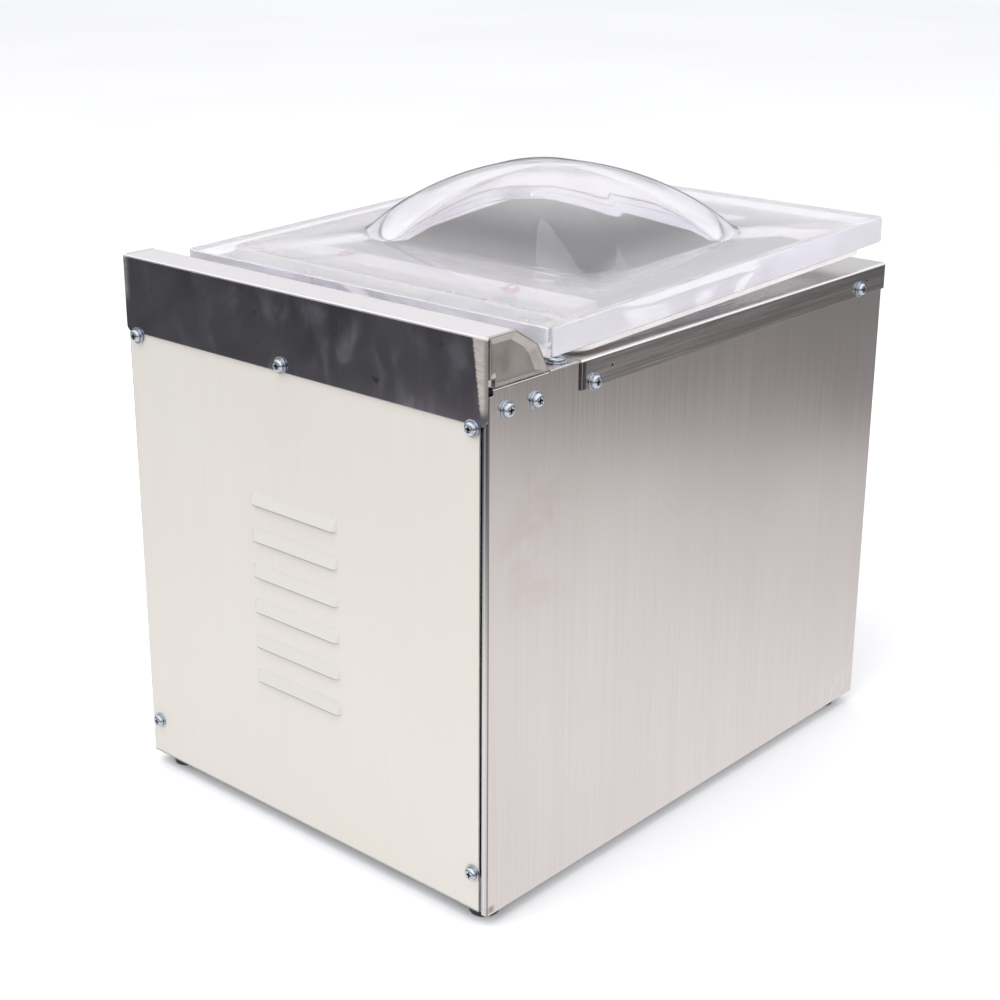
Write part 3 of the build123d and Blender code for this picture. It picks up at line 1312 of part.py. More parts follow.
# ---------------------------------------------------------------- control board and window
BOARD_REAR = 422.0
BOARD_T = 1.6
KNOB_SHAFT_R = 3.0
BUTTON_TRAVEL = 1.2
BUTTON_REAR = 432.2
PANEL_INSIDE = BODY_D - SHEET
BOARD_X = 13.0
BOARD_W = 150.0
BOARD_H = 78.0
DISPLAY_EDGE = 2.5        # display smaller than its window, all round
DISPLAY_GAP = 0.2
SWITCH_W = 6.0
SWITCH_GAP = 0.3          # left between a switch and its pressed key
PILLAR_R = 3.5
PILLAR_INSET = 5.0
DIAL_BODY_R = 12.0
DIAL_BODY_GAP = 0.5
DIAL_NOSE_R = 5.4
DIAL_NOSE_OUT = 2.0

with BuildPart() as control_board:
    with BuildSketch(wall(BOARD_REAR)):
        with Locations((BOARD_X, up(CONTROL_UP))):
            Rectangle(BOARD_W, BOARD_H)
    extrude(amount=BOARD_T)
    board_face = BOARD_REAR + BOARD_T
    with BuildSketch(wall(board_face)):
        with Locations((WINDOW_X, up(WINDOW_UP))):
            Rectangle(WINDOW_W - 2 * DISPLAY_EDGE, WINDOW_H - 2 * DISPLAY_EDGE)
    extrude(amount=BODY_D - board_face - DISPLAY_GAP)
    with BuildSketch(wall(board_face)):
        for x in BUTTON_X.values():
            with Locations((x, up(BUTTON_UP))):
                Rectangle(SWITCH_W, SWITCH_W)
    extrude(amount=BUTTON_REAR - BUTTON_TRAVEL - SWITCH_GAP - board_face)
    with BuildSketch(wall(board_face)):
        with Locations((BOARD_X, up(CONTROL_UP))):
            with GridLocations(BOARD_W - 2 * PILLAR_INSET, BOARD_H - 2 * PILLAR_INSET, 2, 2):
                Circle(PILLAR_R)
    extrude(amount=PANEL_INSIDE - board_face)
    disc(front_at(KNOB_X, board_face, CONTROL_UP), DIAL_BODY_R, PANEL_INSIDE - board_face - DIAL_BODY_GAP)
    disc(front_at(KNOB_X, board_face, CONTROL_UP), DIAL_NOSE_R, BODY_D + DIAL_NOSE_OUT - board_face)
    screw_hole(front_at(KNOB_X, BODY_D, CONTROL_UP), 2 * THROUGH, KNOB_SHAFT_R + RUNNING)
control_board.part.label = "control_board"
export_step(control_board.part, "parts/control_board.step")

with BuildPart() as display_window:
    with BuildSketch(wall(BODY_D)):
        with Locations((WINDOW_X, up(WINDOW_UP))):
            Rectangle(WINDOW_W - DISPLAY_GAP, WINDOW_H - DISPLAY_GAP)
    extrude(amount=CONTROL_T - DISPLAY_GAP)
display_window.part.label = "display_window"
export_step(display_window.part, "parts/display_window.step")


# ---------------------------------------------------------------- push buttons
BUTTON_OUT = 5.0          # key in front of the front panel
BUTTON_EDGE = 1.5


def push_button(x):
    """Build one round push button with a rounded face."""
    with BuildPart() as button:
        disc(front_at(x, BUTTON_REAR, BUTTON_UP), BUTTON_R, BODY_D + BUTTON_OUT - BUTTON_REAR)
        fillet(button.faces().sort_by(Axis.Y)[0].edges(), BUTTON_EDGE)
    return button


set_button = push_button(BUTTON_X["set_button"])
set_button.part.label = "set_button"
export_step(set_button.part, "parts/set_button.step")

minus_button = push_button(BUTTON_X["minus_button"])
minus_button.part.label = "minus_button"
export_step(minus_button.part, "parts/minus_button.step")

plus_button = push_button(BUTTON_X["plus_button"])
plus_button.part.label = "plus_button"
export_step(plus_button.part, "parts/plus_button.step")

# ---------------------------------------------------------------- vacuum gauge
BEZEL_FRONT = BODY_D + 11.0
DIAL_FORWARD = BODY_D + 4.5
DIAL_T = 0.6
GLASS_FORWARD = BODY_D + 8.5
GLASS_T = 1.5
BEZEL_WALL = 2.5
NEEDLE_SHAFT_R = 0.8
CASE_DEPTH = 24.0
BEZEL_EDGE = 1.5
NEEDLE_BORE = 8.0
SPIGOT_R = 6.0
SPIGOT_L = 12.0
DIAL_GAP = 0.2            # between the dial and the bezel's wall
DIAL_HOLE_GAP = 0.4
NEEDLE_GAP = 0.9          # needle in front of the dial
NEEDLE_ROOT = 6.0         # shaft behind the dial's face
NEEDLE_HUB_R = 2.6
NEEDLE_HUB_T = 1.0
NEEDLE_T = 0.6
NEEDLE_OUTLINE = [(-12.4, -15.6), (-14.6, -13.8), (5.0, 6.3), (6.6, 4.3)]


def gauge_at(forward):
    """Plane square to the gauge's middle line, looking to the operator."""
    return front_at(GAUGE_X, forward, CONTROL_UP)


with BuildPart() as gauge_case:
    disc(gauge_at(BODY_D - CASE_DEPTH), GAUGE_CASE_R, CASE_DEPTH + CONTROL_T)
    disc(gauge_at(BODY_D + CONTROL_T), GAUGE_R, BEZEL_FRONT - BODY_D - CONTROL_T)
    fillet(gauge_case.faces().sort_by(Axis.Y)[0].edges(), BEZEL_EDGE)
    disc(gauge_at(BEZEL_FRONT), GAUGE_R - BEZEL_WALL, DIAL_FORWARD - BEZEL_FRONT, Mode.SUBTRACT)
    disc(gauge_at(DIAL_FORWARD), NEEDLE_SHAFT_R + RUNNING, -NEEDLE_BORE, Mode.SUBTRACT)
    disc(gauge_at(BODY_D - CASE_DEPTH), SPIGOT_R, -SPIGOT_L)
gauge_case.part.label = "gauge_case"
export_step(gauge_case.part, "parts/gauge_case.step")

with BuildPart() as gauge_dial:
    disc(gauge_at(DIAL_FORWARD), GAUGE_R - BEZEL_WALL - DIAL_GAP, DIAL_T)
    disc(gauge_at(DIAL_FORWARD), NEEDLE_SHAFT_R + DIAL_HOLE_GAP, DIAL_T, Mode.SUBTRACT)
gauge_dial.part.label = "gauge_dial"
export_step(gauge_dial.part, "parts/gauge_dial.step")

with BuildPart() as gauge_needle:
    needle_forward = DIAL_FORWARD + DIAL_T + NEEDLE_GAP
    shaft_l = needle_forward + NEEDLE_HUB_T - DIAL_FORWARD + NEEDLE_ROOT
    disc(gauge_at(DIAL_FORWARD - NEEDLE_ROOT), NEEDLE_SHAFT_R, shaft_l)
    disc(gauge_at(needle_forward), NEEDLE_HUB_R, NEEDLE_HUB_T)
    with BuildSketch(gauge_at(needle_forward)):
        with BuildLine():
            Polyline(NEEDLE_OUTLINE, close=True)
        make_face()
    extrude(amount=NEEDLE_T)
gauge_needle.part.label = "gauge_needle"
export_step(gauge_needle.part, "parts/gauge_needle.step")

with BuildPart() as gauge_glass:
    disc(gauge_at(GLASS_FORWARD), GAUGE_R - BEZEL_WALL - DIAL_GAP, GLASS_T)
gauge_glass.part.label = "gauge_glass"
export_step(gauge_glass.part, "parts/gauge_glass.step")

# ---------------------------------------------------------------- selector knob
KNOB_R = 16.0
KNOB_FRONT = BODY_D + 18.0
KNOB_REAR = BODY_D + 2.6
KNOB_GRIPS = 16
KNOB_SKIRT_T = 4.0
KNOB_GRIP_R = 13.0
KNOB_EDGE = 1.5
FLUTE_R = 1.3
FLUTE_STEP = 13.8
FLUTE_LOW = 5.0
POINTER_W = 1.6
POINTER_L = 9.0
POINTER_MID = 6.0
POINTER_DEPTH = 0.8
KNOB_SHAFT_END = 425.0


def knob_at(forward):
    """Plane square to the knob's middle line, looking to the operator."""
    return front_at(KNOB_X, forward, CONTROL_UP)


with BuildPart() as heat_knob:
    disc(knob_at(KNOB_REAR), KNOB_R, KNOB_SKIRT_T)
    disc(knob_at(KNOB_REAR), KNOB_GRIP_R, KNOB_FRONT - KNOB_REAR)
    fillet(heat_knob.faces().sort_by(Axis.Y)[0].edges(), KNOB_EDGE)
    with BuildSketch(knob_at(KNOB_REAR + FLUTE_LOW)):
        with PolarLocations(FLUTE_STEP, KNOB_GRIPS):
            Circle(FLUTE_R)
    extrude(amount=KNOB_FRONT - KNOB_REAR - FLUTE_LOW, mode=Mode.SUBTRACT)
    with BuildSketch(knob_at(KNOB_FRONT)):
        with Locations((0, POINTER_MID)):
            Rectangle(POINTER_W, POINTER_L)
    extrude(amount=-POINTER_DEPTH, mode=Mode.SUBTRACT)
    disc(knob_at(KNOB_REAR), KNOB_SHAFT_R, KNOB_SHAFT_END - KNOB_REAR)
heat_knob.part.label = "heat_knob"
export_step(heat_knob.part, "parts/heat_knob.step")

# ---------------------------------------------------------------- emergency stop
STOP_TRAVEL = 4.0
STOP_HEAD_R = 17.0
STOP_HEAD_REAR = BODY_D + 12.0
STOP_STEM_R = 5.0
STOP_BODY_REAR = BODY_D - 24.0
STOP_REST_GAP = 0.5       # left under the head when it is pressed
STOP_COLLAR_EDGE = 1.0
STOP_HEAD_EDGE = 5.0
STOP_STEM_END = 6.0       # from the rear of the switch body to the stem's end


def stop_at(forward):
    """Plane square to the stop button's middle line, looking to the operator."""
    return front_at(STOP_X, forward, CONTROL_UP)


with BuildPart() as stop_collar:
    collar_rear = BODY_D + CONTROL_T
    collar_front = STOP_HEAD_REAR - STOP_TRAVEL - STOP_REST_GAP
    disc(stop_at(STOP_BODY_REAR), STOP_BODY_R, collar_rear - STOP_BODY_REAR)
    disc(stop_at(collar_rear), STOP_COLLAR_R, collar_front - collar_rear)
    fillet(stop_collar.faces().sort_by(Axis.Y)[0].edges(), STOP_COLLAR_EDGE)
    disc(stop_at(STOP_BODY_REAR), STOP_STEM_R + RUNNING, STOP_HEAD_REAR - STOP_BODY_REAR, Mode.SUBTRACT)
stop_collar.part.label = "stop_collar"
export_step(stop_collar.part, "parts/stop_collar.step")

with BuildPart() as stop_button:
    disc(stop_at(STOP_HEAD_REAR), STOP_HEAD_R, BODY_D + STOP_REACH - STOP_HEAD_REAR)
    fillet(stop_button.faces().sort_by(Axis.Y)[0].edges(), STOP_HEAD_EDGE)
    disc(stop_at(STOP_HEAD_REAR), STOP_STEM_R, STOP_BODY_REAR + STOP_STEM_END - STOP_HEAD_REAR)
stop_button.part.label = "stop_button"
export_step(stop_button.part, "parts/stop_button.step")

# ---------------------------------------------------------------- power rocker
ROCKER_AXIS = 431.0
ROCKER_TILT = 8.0
ROCKER_HALF = 10.7
ROCKER_FACE = 7.2
ROCKER_PIN_R = 1.3
ROCKER_PIN_HALF = 8.4
ROCKER_PIN_GAP = 0.2
ROCKER_SIDE_GAP = 0.5
ROCKER_END_GAP = 1.2
ROCKER_BEVEL = 2.0        # the paddle's faces meet this much further in
ROCKER_BACK = 3.0
BEZEL_OVER = 2.0
BEZEL_T = 2.0
SWITCH_DEPTH = 22.0
POCKET_DEPTH = 14.0
POCKET_WALL = 2.2

with BuildPart() as rocker_bezel:
    with BuildSketch(wall(BODY_D)):
        with Locations((ROCKER_X, up(ROCKER_UP))):
            RectangleRounded(ROCKER_W + 2 * BEZEL_OVER, ROCKER_H + 2 * BEZEL_OVER, BEZEL_OVER)
    extrude(amount=BEZEL_T)
    with BuildSketch(wall(BODY_D)):
        with Locations((ROCKER_X, up(ROCKER_UP))):
            Rectangle(ROCKER_W - 2 * FIT, ROCKER_H - 2 * FIT)
    extrude(amount=-SWITCH_DEPTH)
    with BuildSketch(wall(BODY_D + BEZEL_T)):
        with Locations((ROCKER_X, up(ROCKER_UP))):
            Rectangle(2 * (ROCKER_HALF + ROCKER_END_GAP), ROCKER_H - 2 * POCKET_WALL)
    extrude(amount=-POCKET_DEPTH, mode=Mode.SUBTRACT)
    with BuildSketch(level(ROCKER_UP)):
        with Locations((ROCKER_X, back(ROCKER_AXIS))):
            Circle(ROCKER_PIN_R + RUNNING)
    extrude(amount=ROCKER_PIN_HALF + ROCKER_PIN_GAP, both=True, mode=Mode.SUBTRACT)
rocker_bezel.part.label = "rocker_bezel"
export_step(rocker_bezel.part, "parts/rocker_bezel.step")

paddle = [
    (-ROCKER_HALF, ROCKER_BACK),
    (-ROCKER_HALF, -ROCKER_FACE),
    (0, ROCKER_BEVEL - ROCKER_FACE),
    (ROCKER_HALF, -ROCKER_FACE),
    (ROCKER_HALF, ROCKER_BACK),
]
with BuildPart() as power_rocker:
    tilt = radians(ROCKER_TILT)
    half_h = ROCKER_H / 2 - POCKET_WALL - ROCKER_SIDE_GAP
    rocker_plane = Plane(
        origin=(ROCKER_X, back(ROCKER_AXIS), up(ROCKER_UP) - half_h),
        x_dir=(cos(tilt), sin(tilt), 0),
        z_dir=(0, 0, 1),
    )
    with BuildSketch(rocker_plane):
        with BuildLine():
            Polyline(paddle, close=True)
        make_face()
    extrude(amount=2 * half_h)
    with BuildSketch(level(ROCKER_UP)):
        with Locations((ROCKER_X, back(ROCKER_AXIS))):
            Circle(ROCKER_PIN_R)
    extrude(amount=ROCKER_PIN_HALF, both=True)
power_rocker.part.label = "power_rocker"
export_step(power_rocker.part, "parts/power_rocker.step")

# ---------------------------------------------------------------- mains inlet on the right
INLET_DEPTH = 18.0
INLET_FLANGE_T = 2.5
BLADE_STEP = 7.0
INLET_PINS = [(-BLADE_STEP, -1.5), (0.0, 2.5), (BLADE_STEP, -1.5)]
INLET_PIN_W = 2.0
INLET_PIN_H = 4.0
INLET_PIN_SHORT = 6.0     # pins end this far inside the mouth
INLET_FLANGE_L = 40.0
INLET_FLANGE_H = 27.4
INLET_FLANGE_R = 4.0
INLET_BODY = 26.0
INLET_WALL = 2.0
INLET_MOUTH_R = 3.0
TAB_T = 1.0
TAB_H = 5.0
TAB_L = 8.0

with BuildPart() as power_inlet:
    inlet_face = HALF_W + INLET_FLANGE_T
    with BuildSketch(side(HALF_W)):
        with Locations((back(INLET_FORWARD), up(INLET_UP))):
            RectangleRounded(INLET_FLANGE_L, INLET_FLANGE_H, INLET_FLANGE_R)
    extrude(amount=INLET_FLANGE_T)
    with BuildSketch(side(HALF_W)):
        with Locations((back(INLET_FORWARD), up(INLET_UP))):
            Rectangle(INLET_CUT_L - 2 * FIT, INLET_CUT_H - 2 * FIT)
    extrude(amount=-INLET_BODY)
    with BuildSketch(side(inlet_face)):
        with Locations((back(INLET_FORWARD), up(INLET_UP))):
            RectangleRounded(INLET_CUT_L - 2 * INLET_WALL, INLET_CUT_H - 2 * INLET_WALL, INLET_MOUTH_R)
    extrude(amount=-INLET_DEPTH, mode=Mode.SUBTRACT)
    with BuildSketch(side(inlet_face - INLET_DEPTH)):
        for step, rise in INLET_PINS:
            with Locations((back(INLET_FORWARD) + step, up(INLET_UP) + rise)):
                Rectangle(INLET_PIN_W, INLET_PIN_H)
    extrude(amount=INLET_DEPTH - INLET_PIN_SHORT)
    with BuildSketch(side(HALF_W - INLET_BODY)):
        for step, _ in INLET_PINS:
            with Locations((back(INLET_FORWARD) + step, up(INLET_UP))):
                Rectangle(TAB_T, TAB_H)
    extrude(amount=-TAB_L)
power_inlet.part.label = "power_inlet"
export_step(power_inlet.part, "parts/power_inlet.step")
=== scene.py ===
import json
import math

import bmesh
import bpy
from mathutils import Matrix, Vector


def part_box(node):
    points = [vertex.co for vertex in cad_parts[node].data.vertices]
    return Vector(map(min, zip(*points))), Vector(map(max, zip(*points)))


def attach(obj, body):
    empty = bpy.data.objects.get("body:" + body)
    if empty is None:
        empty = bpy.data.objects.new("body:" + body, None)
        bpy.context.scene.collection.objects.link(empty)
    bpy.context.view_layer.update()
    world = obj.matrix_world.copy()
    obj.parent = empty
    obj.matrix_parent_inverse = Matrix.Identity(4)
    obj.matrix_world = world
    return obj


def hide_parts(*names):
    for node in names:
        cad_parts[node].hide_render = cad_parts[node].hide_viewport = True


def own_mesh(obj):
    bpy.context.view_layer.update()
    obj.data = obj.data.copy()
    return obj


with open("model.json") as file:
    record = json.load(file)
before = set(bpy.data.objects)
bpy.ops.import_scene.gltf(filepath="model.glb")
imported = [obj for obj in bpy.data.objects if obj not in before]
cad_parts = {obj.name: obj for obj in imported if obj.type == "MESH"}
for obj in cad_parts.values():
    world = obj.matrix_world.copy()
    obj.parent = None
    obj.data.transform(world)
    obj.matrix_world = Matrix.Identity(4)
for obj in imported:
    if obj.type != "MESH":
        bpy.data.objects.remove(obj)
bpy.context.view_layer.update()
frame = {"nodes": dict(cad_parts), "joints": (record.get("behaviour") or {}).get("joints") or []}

NODES = frame["nodes"]
MM = 0.001


# ---------------------------------------------------------------- node helpers
class Shader:
    """A node material under construction. Sockets are passed round as values."""

    def __init__(self, name):
        self.mat = bpy.data.materials.new(name)
        self.mat.use_nodes = True
        self.tree = self.mat.node_tree
        self.tree.nodes.clear()
        self.out = self.tree.nodes.new("ShaderNodeOutputMaterial")
        self.shader = self.tree.nodes.new("ShaderNodeBsdfPrincipled")
        self.tree.links.new(self.shader.outputs[0], self.out.inputs[0])
        self.place = self.tree.nodes.new("ShaderNodeTexCoord").outputs["Object"]

    def put(self, socket, value):
        """Link a socket to another one, or give it a plain value."""
        if isinstance(value, bpy.types.NodeSocket):
            self.tree.links.new(value, socket)
        else:
            socket.default_value = value

    def set(self, **values):
        """Fill the main shader's inputs by name, with _ for a space."""
        for key, value in values.items():
            self.put(self.shader.inputs[key.replace("_", " ")], value)

    def math(self, kind, a, b=0.0, c=0.0, clamp=False):
        node = self.tree.nodes.new("ShaderNodeMath")
        node.operation = kind
        node.use_clamp = clamp
        for socket, value in zip(node.inputs, (a, b, c)):
            self.put(socket, value)
        return node.outputs[0]

    def plus(self, a, b, clamp=False):
        return self.math("ADD", a, b, clamp=clamp)

    def minus(self, a, b):
        return self.math("SUBTRACT", a, b)

    def times(self, a, b):
        return self.math("MULTIPLY", a, b)

    def size(self, value):
        """A value without its sign."""
        return self.math("ABSOLUTE", value)

    def ramp(self, value, low, high, to_low=0.0, to_high=1.0, smooth=True):
        """Map value from [low, high] to [to_low, to_high], eased at both ends if smooth."""
        node = self.tree.nodes.new("ShaderNodeMapRange")
        node.interpolation_type = "SMOOTHSTEP" if smooth else "LINEAR"
        for socket, entry in zip(node.inputs, (value, low, high, to_low, to_high)):
            self.put(socket, entry)
        return node.outputs[0]

    def mix(self, share, a, b):
        """Blend two colours."""
        node = self.tree.nodes.new("ShaderNodeMix")
        node.data_type = "RGBA"
        node.clamp_factor = True
        self.put(node.inputs["Factor"], share)
        for socket, value in ((node.inputs[6], a), (node.inputs[7], b)):
            self.put(socket, value if isinstance(value, bpy.types.NodeSocket) else (*value, 1.0))
        return node.outputs[2]

    def paint(self, base, colour, mask, strength):
        """Lay a colour over base where the mask is, as strongly as asked."""
        return self.mix(self.times(mask, strength), base, colour)

    def base(self):
        """The socket that gives the base colour so far."""
        return self.shader.inputs["Base Color"].links[0].from_socket

    def axes(self):
        """The three coordinates, in metres."""
        node = self.tree.nodes.new("ShaderNodeSeparateXYZ")
        self.put(node.inputs[0], self.place)
        return node.outputs[0], node.outputs[1], node.outputs[2]

    def scaled(self, x, y, z):
        """The place, stretched per axis for a noise that runs along one of them."""
        node = self.tree.nodes.new("ShaderNodeMapping")
        self.put(node.inputs["Vector"], self.place)
        node.inputs["Scale"].default_value = (x, y, z)
        return node.outputs[0]

    def noise(self, scale, detail=3.0, rough=0.55, vector=None, distortion=0.0):
        node = self.tree.nodes.new("ShaderNodeTexNoise")
        self.put(node.inputs["Vector"], vector if vector is not None else self.place)
        node.inputs["Scale"].default_value = scale
        node.inputs["Detail"].default_value = detail
        node.inputs["Roughness"].default_value = rough
        node.inputs["Distortion"].default_value = distortion
        return node.outputs[0]

    def bump(self, height, distance, strength=1.0, edge=0.0):
        """Surface relief; edge is the radius of the softened edges under it, in metres."""
        node = self.tree.nodes.new("ShaderNodeBump")
        node.inputs["Distance"].default_value = distance
        node.inputs["Strength"].default_value = strength
        self.put(node.inputs["Height"], height)
        if edge:
            self.put(node.inputs["Normal"], self.bevel(edge))
        self.put(self.shader.inputs["Normal"], node.outputs[0])

    def bevel(self, radius):
        """Normals that round the edges off."""
        node = self.tree.nodes.new("ShaderNodeBevel")
        node.samples = 4
        node.inputs["Radius"].default_value = radius
        return node.outputs[0]

    def within(self, value, low, high, soft):
        """1 where value lies between low and high, eased over soft."""
        up = self.ramp(value, low - soft, low + soft)
        down = self.ramp(value, high - soft, high + soft, 1.0, 0.0)
        return self.times(up, down)


def brushed(name, grain, tint, dark, rough, edge=0.0006, relief=0.00002):
    """Brushed stainless sheet; grain is the brushing direction's axis, 0 to 2."""
    s = Shader(name)
    fine = [900.0, 900.0, 900.0]
    fine[grain] = 6.0
    broad = [60.0, 60.0, 60.0]
    broad[grain] = 1.2
    lines = s.noise(1.0, 4.0, 0.65, s.scaled(*fine))
    bands = s.noise(1.0, 3.0, 0.5, s.scaled(*broad))
    cloud = s.noise(3.5, 3.0, 0.5)
    tone = s.plus(s.times(lines, 0.55), s.times(bands, 0.45))
    share = s.ramp(s.plus(s.times(tone, 0.35), s.times(cloud, 0.35)), 0.15, 0.65, smooth=False)
    s.set(Metallic=1.0, Base_Color=s.mix(share, dark, tint))
    s.set(Roughness=s.ramp(s.plus(lines, cloud), 0.7, 1.3, rough - 0.05, rough + 0.07))
    s.bump(lines, relief, 0.6, edge=edge)
    return s


def plastic(name, colour, rough, grain=0.0, coat=0.0, scale=1400.0, wear=0.12, edge=0.0004):
    """Moulded plastic or rubber with a fine surface grain and a slight tone drift."""
    s = Shader(name)
    drift = s.noise(55.0, 3.0)
    fine = s.noise(scale, 2.0)
    darker = tuple(c * (1.0 - wear) for c in colour)
    lighter = tuple(min(1.0, c * (1.0 + wear) + 0.004) for c in colour)
    s.set(Base_Color=s.mix(s.ramp(drift, 0.3, 0.7), darker, lighter))
    s.set(Roughness=s.ramp(s.plus(drift, fine), 0.6, 1.4, rough - 0.05, rough + 0.06))
    s.set(Coat_Weight=coat)
    s.bump(fine, 0.00002 + grain * 0.0001, 0.5, edge=edge)
    return s


def metal(name, tint, dark, rough, scale, relief=0.00003, edge=0.0003, cloud=24.0):
    """Plain machined, cast or plated metal with soft tone patches."""
    s = Shader(name)
    patch = s.noise(cloud, 4.0, 0.6)
    fine = s.noise(scale, 3.0, 0.6)
    s.set(Metallic=1.0, Base_Color=s.mix(s.ramp(patch, 0.3, 0.7), dark, tint))
    s.set(Roughness=s.ramp(s.plus(patch, fine), 0.6, 1.4, rough - 0.06, rough + 0.10))
    s.bump(fine, relief, 0.5, edge=edge)
    return s


def give(material, *names):
    """Put a finished material on CAD nodes by name."""
    for name in names:
        mesh = NODES[name].data
        mesh.materials.clear()
        mesh.materials.append(material.mat)


# ---------------------------------------------------------------- places read from the model
HINGE = next(j for j in frame["joints"] if j["name"] == "lid_hinge")["pos_m"]
AXIS_Y, AXIS_Z = HINGE[1], HINGE[2]
PLATE_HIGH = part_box("top_plate")[1]
REAR_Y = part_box("left_panel")[1].y + 0.4 * MM      # outer face of the rear panel
HALF_W = 165 * MM                                  # half the casing's width
TILT = math.radians(1.5)                           # the lid's slope at rest
LID_FRAME = Matrix.Translation((0, AXIS_Y, AXIS_Z)) @ Matrix.Rotation(-TILT, 4, "X")


# ---------------------------------------------------------------- casing materials
STAIN_Y = (REAR_Y - 80 * MM, REAR_Y - 18 * MM)
STAIN_Z = (0.215, 0.290)
SCUFF_Y = (REAR_Y - 0.330, REAR_Y - 0.420)         # where the scuffs start and where they are full
SCUFF_Z = (0.010, 0.030)
RUST_Y = (REAR_Y - 7 * MM, REAR_Y - 1.5 * MM)
RUST_Z = (0.0105, 0.0150)
FOLD_SHINE_X = (-0.1626, -0.1618)                  # painted highlight line on the left panel's rear fold


def side_material():
    """Side panel with fine upright brushing, a warm stain, scuffs at its foot and a small rust
    spot. The left one's rear fold has painted shade that darkens it towards the top, a painted
    highlight line along it and a painted shade line where it turns."""
    s = Shader("side_steel")
    x, y, z = s.axes()
    lines = s.noise(1.0, 4.0, 0.6, s.scaled(1500, 1500, 9))
    broad = s.noise(1.0, 3.0, 0.5, s.scaled(34, 34, 1.5))
    cloud = s.noise(5.0, 3.0, 0.5)
    tone = s.plus(s.times(lines, 0.75), s.times(broad, 0.25))
    base = s.mix(s.ramp(tone, 0.34, 0.66), (0.70, 0.665, 0.655), (0.755, 0.72, 0.71))
    base = s.mix(s.ramp(cloud, 0.35, 0.70, 0.0, 0.30), base, (0.68, 0.64, 0.63))

    stain = s.times(s.within(y, *STAIN_Y, 0.025), s.within(z, *STAIN_Z, 0.035))
    stain = s.times(stain, s.ramp(s.noise(26.0, 3.0, 0.6, distortion=0.8), 0.38, 0.66))
    base = s.paint(base, (0.60, 0.52, 0.47), stain, 0.35)

    scratches = s.ramp(s.noise(1.0, 5.0, 0.7, s.scaled(300, 300, 45)), 0.50, 0.62)
    scuff = s.times(s.times(s.within(z, *SCUFF_Z, 0.012), s.ramp(y, *SCUFF_Y)), scratches)
    base = s.paint(base, (0.92, 0.91, 0.90), scuff, 0.30)

    # Painted shade on the left panel's rear fold, darker towards the top, with a painted highlight line
    # along it.
    painted_fold_tone = s.mix(s.ramp(z, 0.330, 0.130), (0.13, 0.13, 0.15), (0.66, 0.65, 0.66))
    shine = s.within(x, *FOLD_SHINE_X, 0.0003)
    painted_fold_tone = s.paint(painted_fold_tone, (0.85, 0.85, 0.88), shine, 0.45)
    fold = s.times(s.ramp(y, REAR_Y - 0.0012, REAR_Y - 0.0008), s.ramp(x, -HALF_W, -0.1644))
    base = s.mix(s.times(fold, s.ramp(x, -0.1590, -0.1600)), base, painted_fold_tone)
    # Painted shade: a dark line where the rear fold turns.
    painted_bend_shade = s.within(y, REAR_Y - 0.0013, REAR_Y - 0.0006, 0.0003)
    base = s.paint(base, (0.10, 0.10, 0.10), s.times(painted_bend_shade, s.ramp(x, -0.1630, -0.1642)), 0.8)

    rust = s.times(s.within(y, *RUST_Y, 0.002), s.within(z, *RUST_Z, 0.0015))
    base = s.paint(base, (0.26, 0.13, 0.08), rust, 0.65)
    s.set(Metallic=1.0, Base_Color=base)
    s.set(Roughness=s.ramp(s.plus(lines, cloud), 0.7, 1.3, 0.13, 0.20))
    s.bump(s.plus(lines, s.times(s.noise(7.0, 1.0), 6.0)), 0.00003, 0.5, edge=0.0006)
    return s


LOUVRES_X = (-0.0365, 0.0420)
LOUVRES_Z = (0.1050, 0.2480)
LOUVRE_FIRST, LOUVRE_STEP = 0.1058, 0.0257         # foot of the lowest louvre, and their spacing


def rear_material():
    """Pale satin rear panel with faint upright brushing, and painted shade along its top and its
    foot. Each louvre has a painted highlight on its raised face and a painted shade line under its lip."""
    s = Shader("rear_steel")
    x, y, z = s.axes()
    lines = s.noise(1.0, 4.0, 0.65, s.scaled(1100, 1100, 7))
    cloud = s.noise(4.0, 3.0, 0.5)
    tone = s.plus(s.times(lines, 0.5), s.times(cloud, 0.5))
    base = s.mix(s.ramp(tone, 0.30, 0.70), (0.725, 0.695, 0.640), (0.765, 0.740, 0.690))

    louvres = s.times(s.within(z, *LOUVRES_Z, 0.0005), s.within(x, *LOUVRES_X, 0.0020))
    height = s.math("WRAP", s.minus(z, LOUVRE_FIRST), LOUVRE_STEP, 0.0)
    proud = s.ramp(y, REAR_Y + 0.0002, REAR_Y + 0.0006)
    # Painted highlight on each louvre's raised face, and a painted shade line under its lip.
    painted_crest_light = s.times(s.times(proud, s.within(height, 0.0012, 0.0098, 0.0010)), louvres)
    base = s.paint(base, (0.84, 0.825, 0.785), painted_crest_light, 0.16)
    painted_lip_shade = s.times(s.within(height, 0.0002, 0.0010, 0.0003), louvres)
    base = s.paint(base, (0.22, 0.20, 0.18), painted_lip_shade, 0.8)

    # Painted shade: darker along the top, under the cover's overhang, and along the foot.
    base = s.mix(s.ramp(z, 0.3395, 0.3250, 0.55, 0.0), base, (0.50, 0.46, 0.41))
    base = s.mix(s.ramp(z, 0.0120, 0.0098, 0.0, 0.75), base, (0.20, 0.19, 0.18))
    s.set(Metallic=0.45, Base_Color=base)
    s.set(Roughness=s.ramp(s.plus(lines, cloud), 0.7, 1.3, 0.40, 0.52))
    s.bump(lines, 0.00001, 0.3, edge=0.0007)
    return s


COVER_FOOT, COVER_BROW = 0.338, 0.382              # heights of the cover's rear face
COVER_TOP = (0.3832, 0.3838)                       # where its rear face turns into its top
# where the painted highlight along the top edge lies
PAINTED_RIM_Z = (0.3836, 0.3848)
CHEEK_X = (0.1622, 0.1628)                         # where its end cheeks start
GROUND_LEAN = 5.8 * MM                             # how far the ground strip leans inwards


